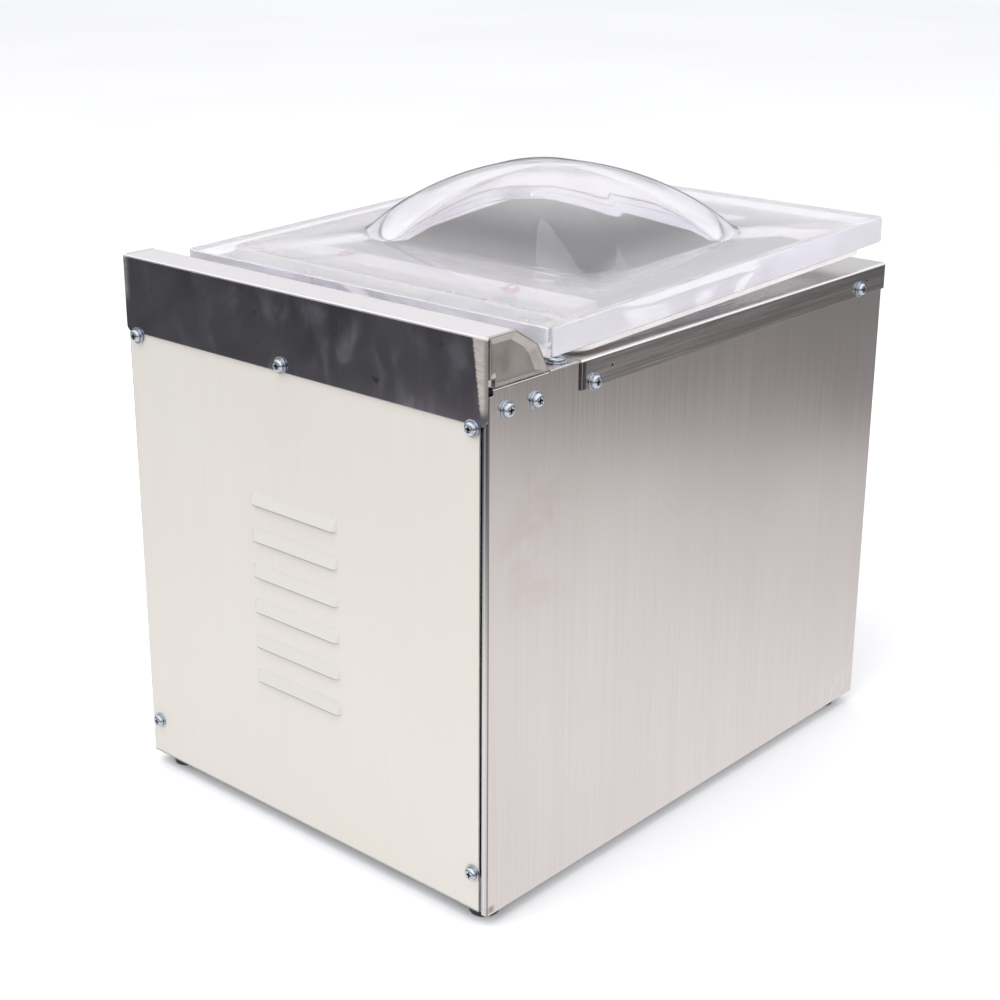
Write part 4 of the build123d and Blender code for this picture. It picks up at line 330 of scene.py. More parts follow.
def cover_material():
    """Mirror-polished cover with wiped smudges, ground corners and a duller top and cheeks; the
    rear face's dark base tone is painted dark reflection, and a painted highlight runs along
    its top edge.
    """
    s = Shader("cover_steel")
    x, y, z = s.axes()
    behind = s.ramp(y, REAR_Y - 0.0006, REAR_Y + 0.0002)
    warped = s.noise(24.0, 2.0, 0.45, distortion=0.9)
    wiped = s.noise(1.0, 3.0, 0.5, s.scaled(52, 52, 26), 0.8)
    smudge = s.times(s.ramp(warped, 0.34, 0.70), s.ramp(wiped, 0.30, 0.72))
    # Painted reflection: the rear face's dark base tones stand for the dark surroundings it mirrors; the
    # smudges over them are real marks.
    halo = s.noise(9.0, 2.0, 0.5, distortion=0.6)
    base = s.mix(s.ramp(halo, 0.30, 0.70), (0.165, 0.163, 0.190), (0.310, 0.307, 0.350))
    base = s.mix(smudge, base, (0.38, 0.38, 0.43))
    spots = s.ramp(s.noise(60.0, 2.0, 0.5), 0.66, 0.76)
    base = s.paint(base, (0.05, 0.05, 0.06), spots, 0.6)
    threads = s.noise(1.0, 4.0, 0.7, s.scaled(330, 330, 9))
    base = s.paint(base, (0.30, 0.30, 0.36), s.ramp(threads, 0.56, 0.74), 0.35)

    # a ragged, leaning ground strip at the left end and a softer one at the right end
    teeth = s.times(s.noise(1.0, 4.0, 0.75, s.scaled(12, 12, 900)), 0.0035)
    lean = s.ramp(z, COVER_FOOT, COVER_BROW, 0.0, GROUND_LEAN, smooth=False)
    left_edge = s.ramp(s.minus(s.minus(x, teeth), lean), -0.1610, -0.1628)
    left_mark = s.times(left_edge, s.ramp(z, 0.336, 0.344))
    right_mark = s.times(s.ramp(x, 0.1575, 0.1640), s.ramp(z, 0.348, 0.362))
    mark = s.times(s.plus(left_mark, s.times(right_mark, 0.7), clamp=True), behind)
    rub = s.noise(1.0, 3.0, 0.6, s.scaled(90, 90, 500))
    rubbed = s.mix(s.ramp(rub, 0.30, 0.70), (0.80, 0.74, 0.69), (1.0, 0.97, 0.93))
    rubbed = s.mix(s.ramp(x, -0.1615, -0.1648), rubbed, (0.50, 0.46, 0.43))
    base = s.mix(mark, base, rubbed)

    # the top, with a painted highlight along its edge, and the stained cheeks
    top = s.ramp(z, *COVER_TOP)
    base = s.mix(top, base, (0.84, 0.81, 0.82))
    # Painted highlight: a white line along the top edge of the rear face.
    painted_rim_highlight = s.times(s.within(z, *PAINTED_RIM_Z, 0.0002), behind)
    base = s.mix(painted_rim_highlight, base, (1.0, 0.99, 0.98))
    cheek = s.times(s.ramp(s.size(x), *CHEEK_X), s.minus(1.0, behind))
    base = s.paint(base, (0.60, 0.565, 0.53), cheek, 0.9)
    sunk = s.times(s.ramp(s.size(x), 0.1648, 0.1640), cheek)
    stain = s.times(sunk, s.ramp(s.noise(70.0, 2.0, 0.5), 0.45, 0.75))
    base = s.paint(base, (0.34, 0.30, 0.26), stain, 0.45)

    polish = s.times(s.times(smudge, s.minus(1.0, top)), 0.16)
    dull = s.plus(s.times(mark, 0.34), s.times(s.plus(top, cheek, clamp=True), 0.30))
    s.set(Metallic=1.0, Base_Color=base, Roughness=s.plus(s.plus(0.035, polish), dull))
    grain = s.noise(1.0, 3.0, 0.6, s.scaled(700, 700, 12))
    s.bump(s.plus(grain, s.times(halo, 2.0)), 0.000012, 0.35, edge=0.0006)
    return s


def top_material():
    """Top plate: pale on its flat, and coarser along its folded lips, which are painted darker as
    shade, darkest at their rear ends, with painted highlight lines along their rear edge and their fold.
    """
    s = brushed("top_steel", 1, (0.80, 0.775, 0.765), (0.68, 0.66, 0.65), 0.24, relief=0.00003)
    x, y, z = s.axes()
    face, end = PLATE_HIGH.z, PLATE_HIGH.y
    lines = s.noise(1.0, 4.0, 0.7, s.scaled(260, 9, 420))
    # Painted shade: the folded lips are darker than the flat, darkest in a band at their rear ends, with
    # a painted highlight line along their rear edge.
    painted_lip_tone = s.mix(s.ramp(lines, 0.32, 0.68), (0.36, 0.345, 0.34), (0.54, 0.52, 0.51))
    painted_end_shade = s.ramp(y, end - 0.0050, end - 0.0034)
    painted_lip_tone = s.paint(painted_lip_tone, (0.09, 0.085, 0.08), painted_end_shade, 0.85)
    painted_brim_highlight = s.within(y, end - 0.0007, end - 0.0003, 0.0001)
    painted_lip_tone = s.mix(painted_brim_highlight, painted_lip_tone, (0.85, 0.83, 0.81))
    base = s.mix(s.ramp(z, face - 0.0010, face - 0.0022), s.base(), painted_lip_tone)
    # Painted highlight along the fold at the top of the lips.
    fold = s.within(z, face - 0.0017, face - 0.0006, 0.0003)
    fold = s.times(fold, s.ramp(s.size(x), 0.1638, 0.1648))
    s.set(Base_Color=s.paint(base, (1.0, 0.99, 0.98), fold, 0.9))
    return s


def chamber_material():
    """Pressed and polished chamber steel with a wavy bump for real reflections, and a base colour
    blotched dark and bright as painted reflections.
    """
    s = Shader("chamber_steel")
    # Painted reflections: dark and bright swirls in the base colour.
    painted_reflection_blotch = s.noise(1.0, 2.0, 0.5, s.scaled(13, 13, 30), 1.4)
    base = s.mix(s.ramp(painted_reflection_blotch, 0.42, 0.68), (0.05, 0.05, 0.06), (0.52, 0.52, 0.54))
    s.set(Metallic=1.0, Base_Color=base, Roughness=s.ramp(painted_reflection_blotch, 0.35, 0.65, 0.07, 0.13))
    s.bump(s.noise(11.0, 0.0), 0.008, 0.6, edge=0.0010)
    return s


def screw_material():
    """Bluish zinc plate with painted shade in the cross recess and round the washer."""
    s = metal("zinc_screw", (0.74, 0.79, 0.85), (0.50, 0.55, 0.62), 0.20, 1500.0,
              0.00002, 0.00035, cloud=420.0)
    # Painted shade: darkened to near black where ambient occlusion finds a hollow.
    hollow = s.tree.nodes.new("ShaderNodeAmbientOcclusion")
    hollow.samples = 8
    hollow.inputs["Distance"].default_value = 1.6 * MM
    painted_shade = s.ramp(hollow.outputs["AO"], 0.72, 0.42)
    s.set(Base_Color=s.mix(painted_shade, s.base(), (0.020, 0.020, 0.022)))
    return s


side = side_material()
plate = top_material()
front = brushed("front_steel", 2, (0.70, 0.675, 0.66), (0.56, 0.54, 0.53), 0.26, relief=0.00004)
deck = brushed("deck_steel", 0, (0.78, 0.75, 0.74), (0.66, 0.63, 0.62), 0.24)
control = brushed("control_steel", 0, (0.60, 0.61, 0.63), (0.44, 0.45, 0.47), 0.30, edge=0.0003)
chamber = chamber_material()
frame_zinc = metal("frame_zinc", (0.46, 0.47, 0.49), (0.32, 0.33, 0.35), 0.42, 600.0, cloud=60.0)
zinc = screw_material()
cast = metal("cast_alloy", (0.70, 0.71, 0.72), (0.54, 0.55, 0.56), 0.36, 800.0, 0.00006, 0.0008)
turned = metal("turned_alloy", (0.78, 0.78, 0.79), (0.64, 0.64, 0.66), 0.24, 900.0)
ground = metal("ground_shaft", (0.68, 0.68, 0.70), (0.52, 0.52, 0.55), 0.16, 1200.0)
wire = metal("spring_wire", (0.52, 0.53, 0.56), (0.34, 0.35, 0.38), 0.28, 1500.0, cloud=200.0)
bezel = metal("bezel_chrome", (0.84, 0.84, 0.86), (0.72, 0.72, 0.75), 0.06, 200.0, 0.000005, 0.0004)
pump_paint = plastic("pump_paint", (0.10, 0.14, 0.20), 0.42, 2.0, scale=500.0, edge=0.001)
motor_alloy = metal("motor_alloy", (0.46, 0.48, 0.51), (0.34, 0.36, 0.39), 0.45, 500.0, 0.0001, 0.0006)
core_iron = metal("core_iron", (0.20, 0.20, 0.22), (0.11, 0.11, 0.12), 0.5, 1200.0)
copper = metal("coil_copper", (0.80, 0.38, 0.18), (0.58, 0.25, 0.11), 0.3, 1500.0)
heater = metal("heater_ribbon", (0.56, 0.50, 0.44), (0.38, 0.33, 0.29), 0.3, 900.0)
rubber = plastic("rubber_black", (0.018, 0.018, 0.020), 0.62, 3.0, scale=900.0, edge=0.0008)
black = plastic("plastic_black", (0.022, 0.022, 0.024), 0.34, 1.0)
grey = plastic("plastic_grey", (0.22, 0.23, 0.25), 0.40, 1.0)
valve = plastic("valve_black", (0.03, 0.03, 0.034), 0.38, 1.0)
hose = plastic("hose_rubber", (0.03, 0.03, 0.033), 0.55, 2.0)
tubing = plastic("air_tube", (0.03, 0.10, 0.34), 0.18)
key_grey = plastic("key_grey", (0.050, 0.055, 0.065), 0.30)
stop_red = plastic("stop_red", (0.60, 0.012, 0.010), 0.24, coat=0.3)
stop_yellow = plastic("stop_yellow", (0.80, 0.50, 0.015), 0.30, coat=0.2)
needle_red = plastic("needle_red", (0.55, 0.02, 0.012), 0.35)
dial_white = plastic("dial_white", (0.86, 0.86, 0.83), 0.45, wear=0.03)
board_green = plastic("board_green", (0.01, 0.10, 0.04), 0.30)
window_dark = plastic("window_dark", (0.018, 0.004, 0.006), 0.07, coat=0.4)
print_black = plastic("print_black", (0.015, 0.015, 0.016), 0.5)
print_white = plastic("print_white", (0.82, 0.82, 0.80), 0.5, wear=0.04)
holder_white = plastic("holder_white", (0.80, 0.79, 0.80), 0.32, wear=0.05, edge=0.0006)
pad_pink = plastic("pad_silicone", (0.62, 0.34, 0.30), 0.42, 1.0)
washer_pink = plastic("washer_pink", (0.80, 0.26, 0.30), 0.35)


def gasket_material():
    """Soft translucent silicone."""
    s = plastic("gasket_silicone", (0.86, 0.82, 0.80), 0.40, 1.0, wear=0.05, edge=0.0008)
    s.set(Subsurface_Weight=0.25, Subsurface_Radius=(1.0, 0.6, 0.5), Subsurface_Scale=4 * MM)
    return s


def tape_material():
    """Woven glass cloth with a brown coating."""
    s = Shader("tape_cloth")
    x, y = s.axes()[:2]
    weave_rate = 5200.0
    across, along = (s.math("SINE", s.times(place, weave_rate)) for place in (x, y))
    weave = s.times(across, along)
    base = s.mix(s.ramp(weave, -0.6, 0.6), (0.30, 0.18, 0.09), (0.44, 0.29, 0.16))
    s.set(Base_Color=base, Roughness=s.ramp(s.noise(300.0), 0.3, 0.7, 0.24, 0.36))
    s.bump(weave, 0.00005, 0.6)
    return s


def acrylic_material(name, tint, rough):
    """Cast acrylic with a faint haze."""
    s = Shader(name)
    haze = s.noise(16.0, 4.0, 0.6)
    brighter = tuple(min(1.0, c * 1.03) for c in tint)
    s.set(Base_Color=s.mix(s.ramp(haze, 0.3, 0.7), tint, brighter))
    s.set(Roughness=s.ramp(haze, 0.35, 0.75, rough, rough + 0.02))
    s.set(Transmission_Weight=1.0, IOR=1.49)
    return s


DOME_FOOT_X, DOME_FOOT_Y = 0.1175, 0.0970          # reach of the dome's foot from its middle
DOME_MIDDLE_Y = AXIS_Y - 0.2125


def lid_material():
    """Thick acrylic that turns lavender over long paths: clear in the dome's lower part, milkier
    on the plate and most of all at its sawn edges. The dome turns milkier towards its crown as a
    painted reflection of the bright light above."""
    s = acrylic_material("lid_acrylic", (0.985, 0.965, 1.0), 0.015)
    low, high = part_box("lid_plate")
    x, y, z = s.axes()
    across = s.math("DIVIDE", s.size(x), DOME_FOOT_X)
    along = s.math("DIVIDE", s.size(s.minus(y, DOME_MIDDLE_Y)), DOME_FOOT_Y)
    dome = s.ramp(s.math("MAXIMUM", across, along), 1.04, 0.86)
    # Painted reflection: the dome turns milkier towards its crown, standing for the pale sheen there.
    dome = s.times(dome, s.ramp(z, 0.424, 0.400, 0.10, 1.0))
    side_edge = s.ramp(s.size(x), 0.1640, 0.1648)
    front_edge = s.ramp(y, low.y + 0.0014, low.y + 0.0006)
    back_edge = s.ramp(y, high.y - 0.0014, high.y - 0.0006)
    edge = s.plus(side_edge, s.plus(front_edge, back_edge), clamp=True)
    clear = s.plus(0.76, s.times(dome, 0.15))
    s.set(Transmission_Weight=s.minus(clear, s.times(edge, 0.22)))
    volume = s.tree.nodes.new("ShaderNodeVolumeAbsorption")
    volume.inputs["Color"].default_value = (0.62, 0.52, 1.0, 1.0)
    volume.inputs["Density"].default_value = 1.8
    s.tree.links.new(volume.outputs[0], s.out.inputs["Volume"])
    return s


gasket = gasket_material()
tape = tape_material()
acrylic = lid_material()
glass = acrylic_material("gauge_glass", (0.97, 0.98, 0.98), 0.0)

give(side, "left_panel", "right_panel")
give(rear_material(), "rear_panel")
give(front, "front_panel")
give(cover_material(), "hinge_cover")
give(plate, "top_plate")
give(deck, "hinge_deck")
give(control, "control_plate")
give(chamber, "chamber_tub")
give(frame_zinc, "base_tray", "corner_posts", "spring_anchor", "fan_cover")
give(zinc, "casing_screws", "deck_screws", "lid_screws", "pad_screws")
give(cast, "hinge_arm_left", "hinge_arm_right")
give(turned, "hinge_blocks", "seal_bar", "lift_cylinders", "suction_port")
give(ground, "hinge_rod", "lift_pistons", "motor_shaft")
give(rubber, "feet", "pump_mounts")
give(gasket, "lid_gasket")
give(holder_white, "pad_holder")
give(pad_pink, "seal_pad")
give(washer_pink, "pad_washers")
give(heater, "heating_strip")
give(tape, "seal_tape")
give(pump_paint, "pump_body")
give(motor_alloy, "motor_case")
give(black, "motor_fan", "heat_knob", "rocker_bezel", "power_rocker", "power_inlet")
give(grey, "exhaust_filter")
give(valve, "valve_block")
give(hose, "vacuum_hoses")
give(tubing, "air_hoses")
give(core_iron, "transformer_core")
give(copper, "transformer_coil")
give(board_green, "control_board")
give(window_dark, "display_window")
give(key_grey, "set_button", "minus_button", "plus_button")
give(bezel, "gauge_case")
give(dial_white, "gauge_dial")
give(needle_red, "gauge_needle")
give(glass, "gauge_glass")
give(stop_yellow, "stop_collar")
give(stop_red, "stop_button")


# ---------------------------------------------------------------- mesh helpers
def piece(name, mesh_builder, material, body, smooth=35.0):
    """Turn a bmesh into a named piece that rides on a CAD body."""
    bmesh.ops.recalc_face_normals(mesh_builder, faces=mesh_builder.faces)
    mesh = bpy.data.meshes.new(name)
    mesh_builder.to_mesh(mesh)
    mesh_builder.free()
    mesh.polygons.foreach_set("use_smooth", [True] * len(mesh.polygons))
    mesh.set_sharp_from_angle(angle=math.radians(smooth))
    mesh.materials.append(material.mat)
    obj = bpy.data.objects.new(name, mesh)
    bpy.context.scene.collection.objects.link(obj)
    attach(obj, body)
    return obj


def rounded(width, length, radius, centre_y):
    """Points of a rounded rectangle, always the same number, anticlockwise from its right side."""
    per_arc, per_side = 10, 14
    points = []
    half_w, half_l = width / 2 - radius, length / 2 - radius
    corners = [(half_w, half_l, 0), (-half_w, half_l, 90),
               (-half_w, -half_l, 180), (half_w, -half_l, 270)]
    for index, (cx, cy, start) in enumerate(corners):
        arc = []
        for step in range(per_arc + 1):
            turn = math.radians(start + 90.0 * step / per_arc)
            arc.append((cx + radius * math.cos(turn), cy + radius * math.sin(turn)))
        nx, ny, nstart = corners[(index + 1) % 4]
        turn = math.radians(nstart)
        goal = (nx + radius * math.cos(turn), ny + radius * math.sin(turn))
        points += arc
        last = arc[-1]
        for step in range(1, per_side):
            share = step / per_side
            points.append((last[0] * (1 - share) + goal[0] * share,
                           last[1] * (1 - share) + goal[1] * share))
    return [(x, y + centre_y) for x, y in points]


def skin(mesh_builder, rings):
    """Join rings of equal length with quads and close both ends."""
    rows = [[mesh_builder.verts.new(p) for p in ring] for ring in rings]
    for low, high in zip(rows, rows[1:]):
        for i in range(len(low)):
            j = (i + 1) % len(low)
            mesh_builder.faces.new((low[i], low[j], high[j], high[i]))
    mesh_builder.faces.new(rows[-1])
    mesh_builder.faces.new(list(reversed(rows[0])))


def tube(mesh_builder, points, radius, sides):
    """Sweep a round section along a list of points."""
    rings = []
    normal = None
    for index, point in enumerate(points):
        ahead = points[min(index + 1, len(points) - 1)] - points[max(index - 1, 0)]
        ahead.normalize()
        if normal is None:
            normal = ahead.orthogonal().normalized()
        normal = (normal - ahead * normal.dot(ahead)).normalized()
        other = ahead.cross(normal)
        ring = []
        for step in range(sides):
            turn = 2 * math.pi * step / sides
            ring.append(point + (normal * math.cos(turn) + other * math.sin(turn)) * radius)
        rings.append(ring)
    skin(mesh_builder, rings)


# ---------------------------------------------------------------- the clear lid
LID_W, LID_L, LID_T = 330 * MM, 379.5 * MM, 18.4 * MM
LID_BACK, LID_BASE = -14.5 * MM, -2.85 * MM         # from the hinge axis, in the lid's own frame
DOME_Y = LID_BACK - 198 * MM
ARC = 1.2                                          # the dome's flatness; nearer 1 is rounder
LID_CUT = 0.7 * MM                                 # the chamfer round the lid's sawn edges
SCREW_R = 2.62 * MM
HINGE_SPOT_X, HINGE_SPOT_HALF, HINGE_SPOT_Y = 95 * MM, 38 * MM, -28.5 * MM
PAD_SPOTS = [(-76 * MM, -83.5 * MM), (76 * MM, -83.5 * MM)]


def dome_rise(share, height):
    """Height of the dome's profile at a share of its reach."""
    foot = math.sqrt(ARC * ARC - 1)
    return height * (math.sqrt(ARC * ARC - share * share) - foot) / (ARC - foot)


def dome_rings(width, length, corner, base, height, blend):
    """Rings from just outside the dome's foot up to its crown."""
    blend_steps, dome_steps = 6, 30
    shares = [(1 + blend, 0.0)]
    for step in range(1, blend_steps + 1):
        t = step / blend_steps
        share = (1 - t) ** 2 * (1 + blend) + 2 * t * (1 - t) + t * t * (1 - blend)
        shares.append((share, t * t * dome_rise(1 - blend, height)))
    for step in range(1, dome_steps):
        share = (1 - blend) * math.cos(math.pi / 2 * step / dome_steps)
        shares.append((share, dome_rise(share, height)))
    rings = []
    for share, rise in shares:
        inner = max(0.0, 1 - share)
        radius = corner + (length / 2 - corner) * 0.9 * inner
        outline = rounded(width * share, length * share, radius * share, DOME_Y)
        rings.append([(x, y, base + rise) for x, y in outline])
    return rings


def lid_ring(inset, z):
    """The plate's outline at one height, drawn in by the inset."""
    outline = rounded(LID_W - 2 * inset, LID_L - 2 * inset, 5 * MM - inset, LID_BACK - LID_L / 2)
    return [(x, y, z) for x, y in outline]


def drill(target, spots, radius, depth):
    """Cut blind holes up into the lid from its underside."""
    sides, tip = 20, 0.4 * MM
    cutter = bmesh.new()
    for x, y in spots:
        rings = []
        for z in (-4 * MM, depth - tip, depth):
            r = radius if z < depth else radius - tip
            rings.append([(x + r * math.cos(a), y + r * math.sin(a), LID_BASE + z)
                          for a in (2 * math.pi * k / sides for k in range(sides))])
        skin(cutter, rings)
    bmesh.ops.transform(cutter, matrix=LID_FRAME, verts=cutter.verts)
    bmesh.ops.recalc_face_normals(cutter, faces=cutter.faces)
    mesh = bpy.data.meshes.new("cutter")
    cutter.to_mesh(mesh)
    cutter.free()
    tool = bpy.data.objects.new("cutter", mesh)
    bpy.context.scene.collection.objects.link(tool)
    change = target.modifiers.new("holes", "BOOLEAN")
    change.object = tool
    change.operation = "DIFFERENCE"
    change.solver = "EXACT"
    bpy.context.view_layer.update()
    solved = target.evaluated_get(bpy.context.evaluated_depsgraph_get())
    shaped = bpy.data.meshes.new_from_object(solved)
    target.modifiers.clear()
    target.data = shaped
    bpy.data.objects.remove(tool)


def build_lid():
    """One clear piece: the sawn plate with its dome, hollow underneath, and blind screw holes."""
    b = bmesh.new()
    top = LID_BASE + LID_T
    sharp = 32.0
    under = dome_rings(219 * MM, 178 * MM, 40 * MM, LID_BASE, 60.0 * MM, 0.018)
    over = dome_rings(235 * MM, 194 * MM, 47 * MM, top, 49.6 * MM, 0.022)
    rings = list(reversed(under)) + [lid_ring(LID_CUT, LID_BASE), lid_ring(0, LID_BASE + LID_CUT)]
    rings += [lid_ring(0, top - LID_CUT), lid_ring(LID_CUT, top)] + over
    skin(b, rings)
    bmesh.ops.transform(b, matrix=LID_FRAME, verts=b.verts)
    lid = piece("clear_lid", b, acrylic, "lid", sharp)
    hinge_spots = [(hand * HINGE_SPOT_X + end * HINGE_SPOT_HALF, HINGE_SPOT_Y)
                   for hand in (-1, 1) for end in (-1, 1)]
    drill(lid, hinge_spots, SCREW_R, 12 * MM)
    drill(lid, PAD_SPOTS, SCREW_R, 9 * MM)
    lid.data.set_sharp_from_angle(angle=math.radians(sharp))
    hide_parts("lid_plate")


build_lid()


# ---------------------------------------------------------------- coil springs under the deck
WIRE_R, COIL_R = 1.1 * MM, 7.0 * MM
SPRING_X = 95 * MM
COIL_LOW, COIL_HIGH = 0.2415, 0.3300
COIL_TURNS, TURN_STEPS, HOOK_STEPS = 39, 20, 8


def build_springs():
    """Two close-wound springs, with a round hook below and an upright eye above."""
    low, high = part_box("lid_springs")
    middle_y = (low.y + high.y) / 2
    crown = high.z - WIRE_R - 0.1 * MM
    b = bmesh.new()
    for hand in (-1, 1):
        path = []
        for step in range(HOOK_STEPS + 1):
            a = math.pi * (1.0 - step / HOOK_STEPS)
            path.append((COIL_R * 0.5 * (1 + math.cos(a)), 0, COIL_LOW - 4.5 * MM * math.sin(a)))
        steps = COIL_TURNS * TURN_STEPS
        for step in range(1, steps + 1):
            a = 2 * math.pi * step / TURN_STEPS
            z = COIL_LOW + (COIL_HIGH - COIL_LOW) * step / steps
            path.append((COIL_R * math.cos(a), COIL_R * math.sin(a), z))
        hook_x = -hand * 4.7 * MM
        path += [
            (COIL_R * 0.4 + hook_x * 0.6, 0, COIL_HIGH + 3 * MM),
            (hook_x, 0, COIL_HIGH + 6 * MM),
            (hook_x, 0, crown - 3 * MM),
            (hook_x, 0, crown - 1.2 * MM),
            (hook_x * 0.8, 0, crown - 0.3 * MM),
            (hook_x * 0.5, 0, crown),
            (-hook_x * 0.9, 0, crown),
        ]
        axis = Vector((hand * SPRING_X, middle_y, 0))
        tube(b, [axis + Vector(point) for point in path], WIRE_R, 8)
    springs = piece("coil_springs", b, wire, "casing", 60.0)
    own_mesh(springs)
    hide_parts("lid_springs")


build_springs()


# ---------------------------------------------------------------- front details
FRONT_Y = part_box("control_plate")[0].y


def plate_shape(name, outline_sets, y_back, thick, material, body):
    """Make thin flat shapes on an upright plane; outlines are lists of (x, z)."""
    b = bmesh.new()
    for outline in outline_sets:
        rings = [[(x, y_back, z) for x, z in outline], [(x, y_back - thick, z) for x, z in outline]]
        skin(b, rings)
    piece(name, b, material, body)


def bar(x, z, width, height, turn=0.0):
    """Outline of a small rectangle, turned about its own middle."""
    c, s = math.cos(turn), math.sin(turn)
    half_w, half_h = width / 2, height / 2
    corners = [(-half_w, -half_h), (half_w, -half_h), (half_w, half_h), (-half_w, half_h)]
    return [(x + u * c - v * s, z + u * s + v * c) for u, v in corners]


def dot(x, z, radius):
    """Outline of a small disc."""
    turns = [2 * math.pi * k / 20 for k in range(20)]
    return [(x + radius * math.cos(a), z + radius * math.sin(a)) for a in turns]


def middle(node):
    """Middle of a front part, as x and z, and the y of its front face."""
    low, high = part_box(node)
    return (low.x + high.x) / 2, (low.z + high.z) / 2, low.y


DIAL_START, DIAL_SWEEP = math.radians(227.4), math.radians(270)
DIAL_STEPS = 50
DIAL_FIGURES = ("0", "20", "40", "60", "80", "100")
MARK_REACH, FIGURE_REACH, FIGURE_SIZE = 24.5 * MM, 17.6 * MM, 4.4 * MM


def build_dial():
    """Scale marks and plain figures on the gauge's dial."""
    cx, cz, face = middle("gauge_dial")
    marks = []
    for step in range(DIAL_STEPS + 1):
        a = DIAL_START - DIAL_SWEEP * step / DIAL_STEPS
        length = 3.6 * MM if step % 10 == 0 else (2.6 * MM if step % 5 == 0 else 1.6 * MM)
        width = 0.5 * MM if step % 5 == 0 else 0.25 * MM
        r = MARK_REACH - length / 2
        marks.append(bar(cx + r * math.cos(a), cz + r * math.sin(a), length, width, a))
    plate_shape("dial_marks", marks, face, 0.06 * MM, print_black, "casing")
    b = bmesh.new()
    for step, words in enumerate(DIAL_FIGURES):
        a = DIAL_START - DIAL_SWEEP * step / (len(DIAL_FIGURES) - 1)
        text = bpy.data.curves.new("figures", "FONT")
        text.body = words
        text.size = FIGURE_SIZE
        text.align_x = "CENTER"
        text.align_y = "CENTER"
        text.extrude = 0.03 * MM
        holder = bpy.data.objects.new("figures", text)
        bpy.context.scene.collection.objects.link(holder)
        bpy.context.view_layer.update()
        solved = holder.evaluated_get(bpy.context.evaluated_depsgraph_get())
        flat = bpy.data.meshes.new_from_object(solved)
        r = FIGURE_REACH
        spot = (cx + r * math.cos(a), face - 0.04 * MM, cz + r * math.sin(a))
        flat.transform(Matrix.Translation(spot) @ Matrix.Rotation(math.radians(90), 4, "X"))
        b.from_mesh(flat)
        bpy.data.objects.remove(holder)
        bpy.data.meshes.remove(flat)
    piece("dial_figures", b, print_black, "casing")


LIT_BARS = {"2": "abged", "5": "afgcd"}
BAR_TALL, BAR_WIDE, BAR_THICK = 7.6 * MM, 7.4 * MM, 1.5 * MM
FIGURES = ((-8 * MM, "2"), (8 * MM, "5"))


def build_display():
    """Two glowing seven-bar figures behind the dark window."""
    cx, cz, face = middle("display_window")
    glow = Shader("figure_glow")
    level = glow.ramp(glow.noise(900.0), 0.3, 0.7, 0.8, 1.0)
    glow.set(Base_Color=glow.mix(level, (0.5, 0.01, 0.01), (0.8, 0.03, 0.02)), Roughness=0.4)
    glow.set(Emission_Color=(1.0, 0.05, 0.03, 1.0), Emission_Strength=2.2)
    half_w, half_t = BAR_WIDE / 2, BAR_TALL / 2
    level_bar, upright_bar = (BAR_WIDE - 1.8 * MM, BAR_THICK), (BAR_THICK, BAR_TALL - 1.4 * MM)
    bars = {
        "a": (0, BAR_TALL, level_bar), "g": (0, 0, level_bar), "d": (0, -BAR_TALL, level_bar),
        "b": (half_w, half_t, upright_bar), "c": (half_w, -half_t, upright_bar),
        "f": (-half_w, half_t, upright_bar), "e": (-half_w, -half_t, upright_bar),
    }
    shapes = []
    for place, figure in FIGURES:
        for key in LIT_BARS[figure]:
            x, z, (width, height) = bars[key]
            shapes.append(bar(cx + place + x, cz + z, width, height))
    plate_shape("display_figures", shapes, face, 0.05 * MM, glow, "casing")


KEY_MARKS = (                                      # node, body, and bars as x, z, width, height in mm
    ("minus_button", "minus_key", [(0, 0, 5.4, 1.1)]),
    ("plus_button", "plus_key", [(0, 0, 5.4, 1.1), (0, 1.625, 1.1, 2.15), (0, -1.625, 1.1, 2.15)]),
    ("set_button", "set_key", [(0, 1.9, 5.0, 0.9), (0, 0, 5.0, 0.9), (0, -1.9, 5.0, 0.9)]),
)
KNOB_DOTS, KNOB_DOT_REACH = 10, 20.5 * MM


def build_marks():
    """Symbols on the keys, dots round the knob and the knob's pointer."""
    for node, body, shapes in KEY_MARKS:
        cx, cz, face = middle(node)
        outlines = [bar(cx + x * MM, cz + z * MM, w * MM, h * MM) for x, z, w, h in shapes]
        plate_shape(node + "_mark", outlines, face, 0.08 * MM, print_white, body)
    cx, cz, face = middle("heat_knob")
    r = KNOB_DOT_REACH
    dots = []
    for step in range(KNOB_DOTS):
        a = math.radians(225 - 30 * step)
        dots.append(dot(cx + r * math.cos(a), cz + r * math.sin(a), (0.5 + 0.09 * step) * MM))
    plate_shape("knob_dots", dots, FRONT_Y, 0.06 * MM, print_black, "casing")
    plate_shape("knob_pointer", [bar(cx, cz + 6 * MM, 1.3 * MM, 8.6 * MM)], face + 0.8 * MM,
                0.7 * MM, print_white, "knob")


build_dial()
build_display()
build_marks()


# ---------------------------------------------------------------- floor, light and camera
def build_floor():
    """Plain white paper under the machine, unseen in polished steel."""
    reach = 9
    corners = [(-reach, -reach, 0), (reach, -reach, 0), (reach, reach, 0), (-reach, reach, 0)]
    mesh = bpy.data.meshes.new("floor")
    mesh.from_pydata(corners, [], [(0, 1, 2, 3)])
    s = Shader("floor_paper")
    drift = s.ramp(s.noise(0.8, 2.0), 0.3, 0.7)
    s.set(Base_Color=s.mix(drift, (0.90, 0.905, 0.93), (0.93, 0.935, 0.95)))
    s.set(Roughness=0.9, Specular_IOR_Level=0.0)
    mesh.materials.append(s.mat)
    floor = bpy.data.objects.new("floor", mesh)
    bpy.context.scene.collection.objects.link(floor)
    floor.visible_glossy = False


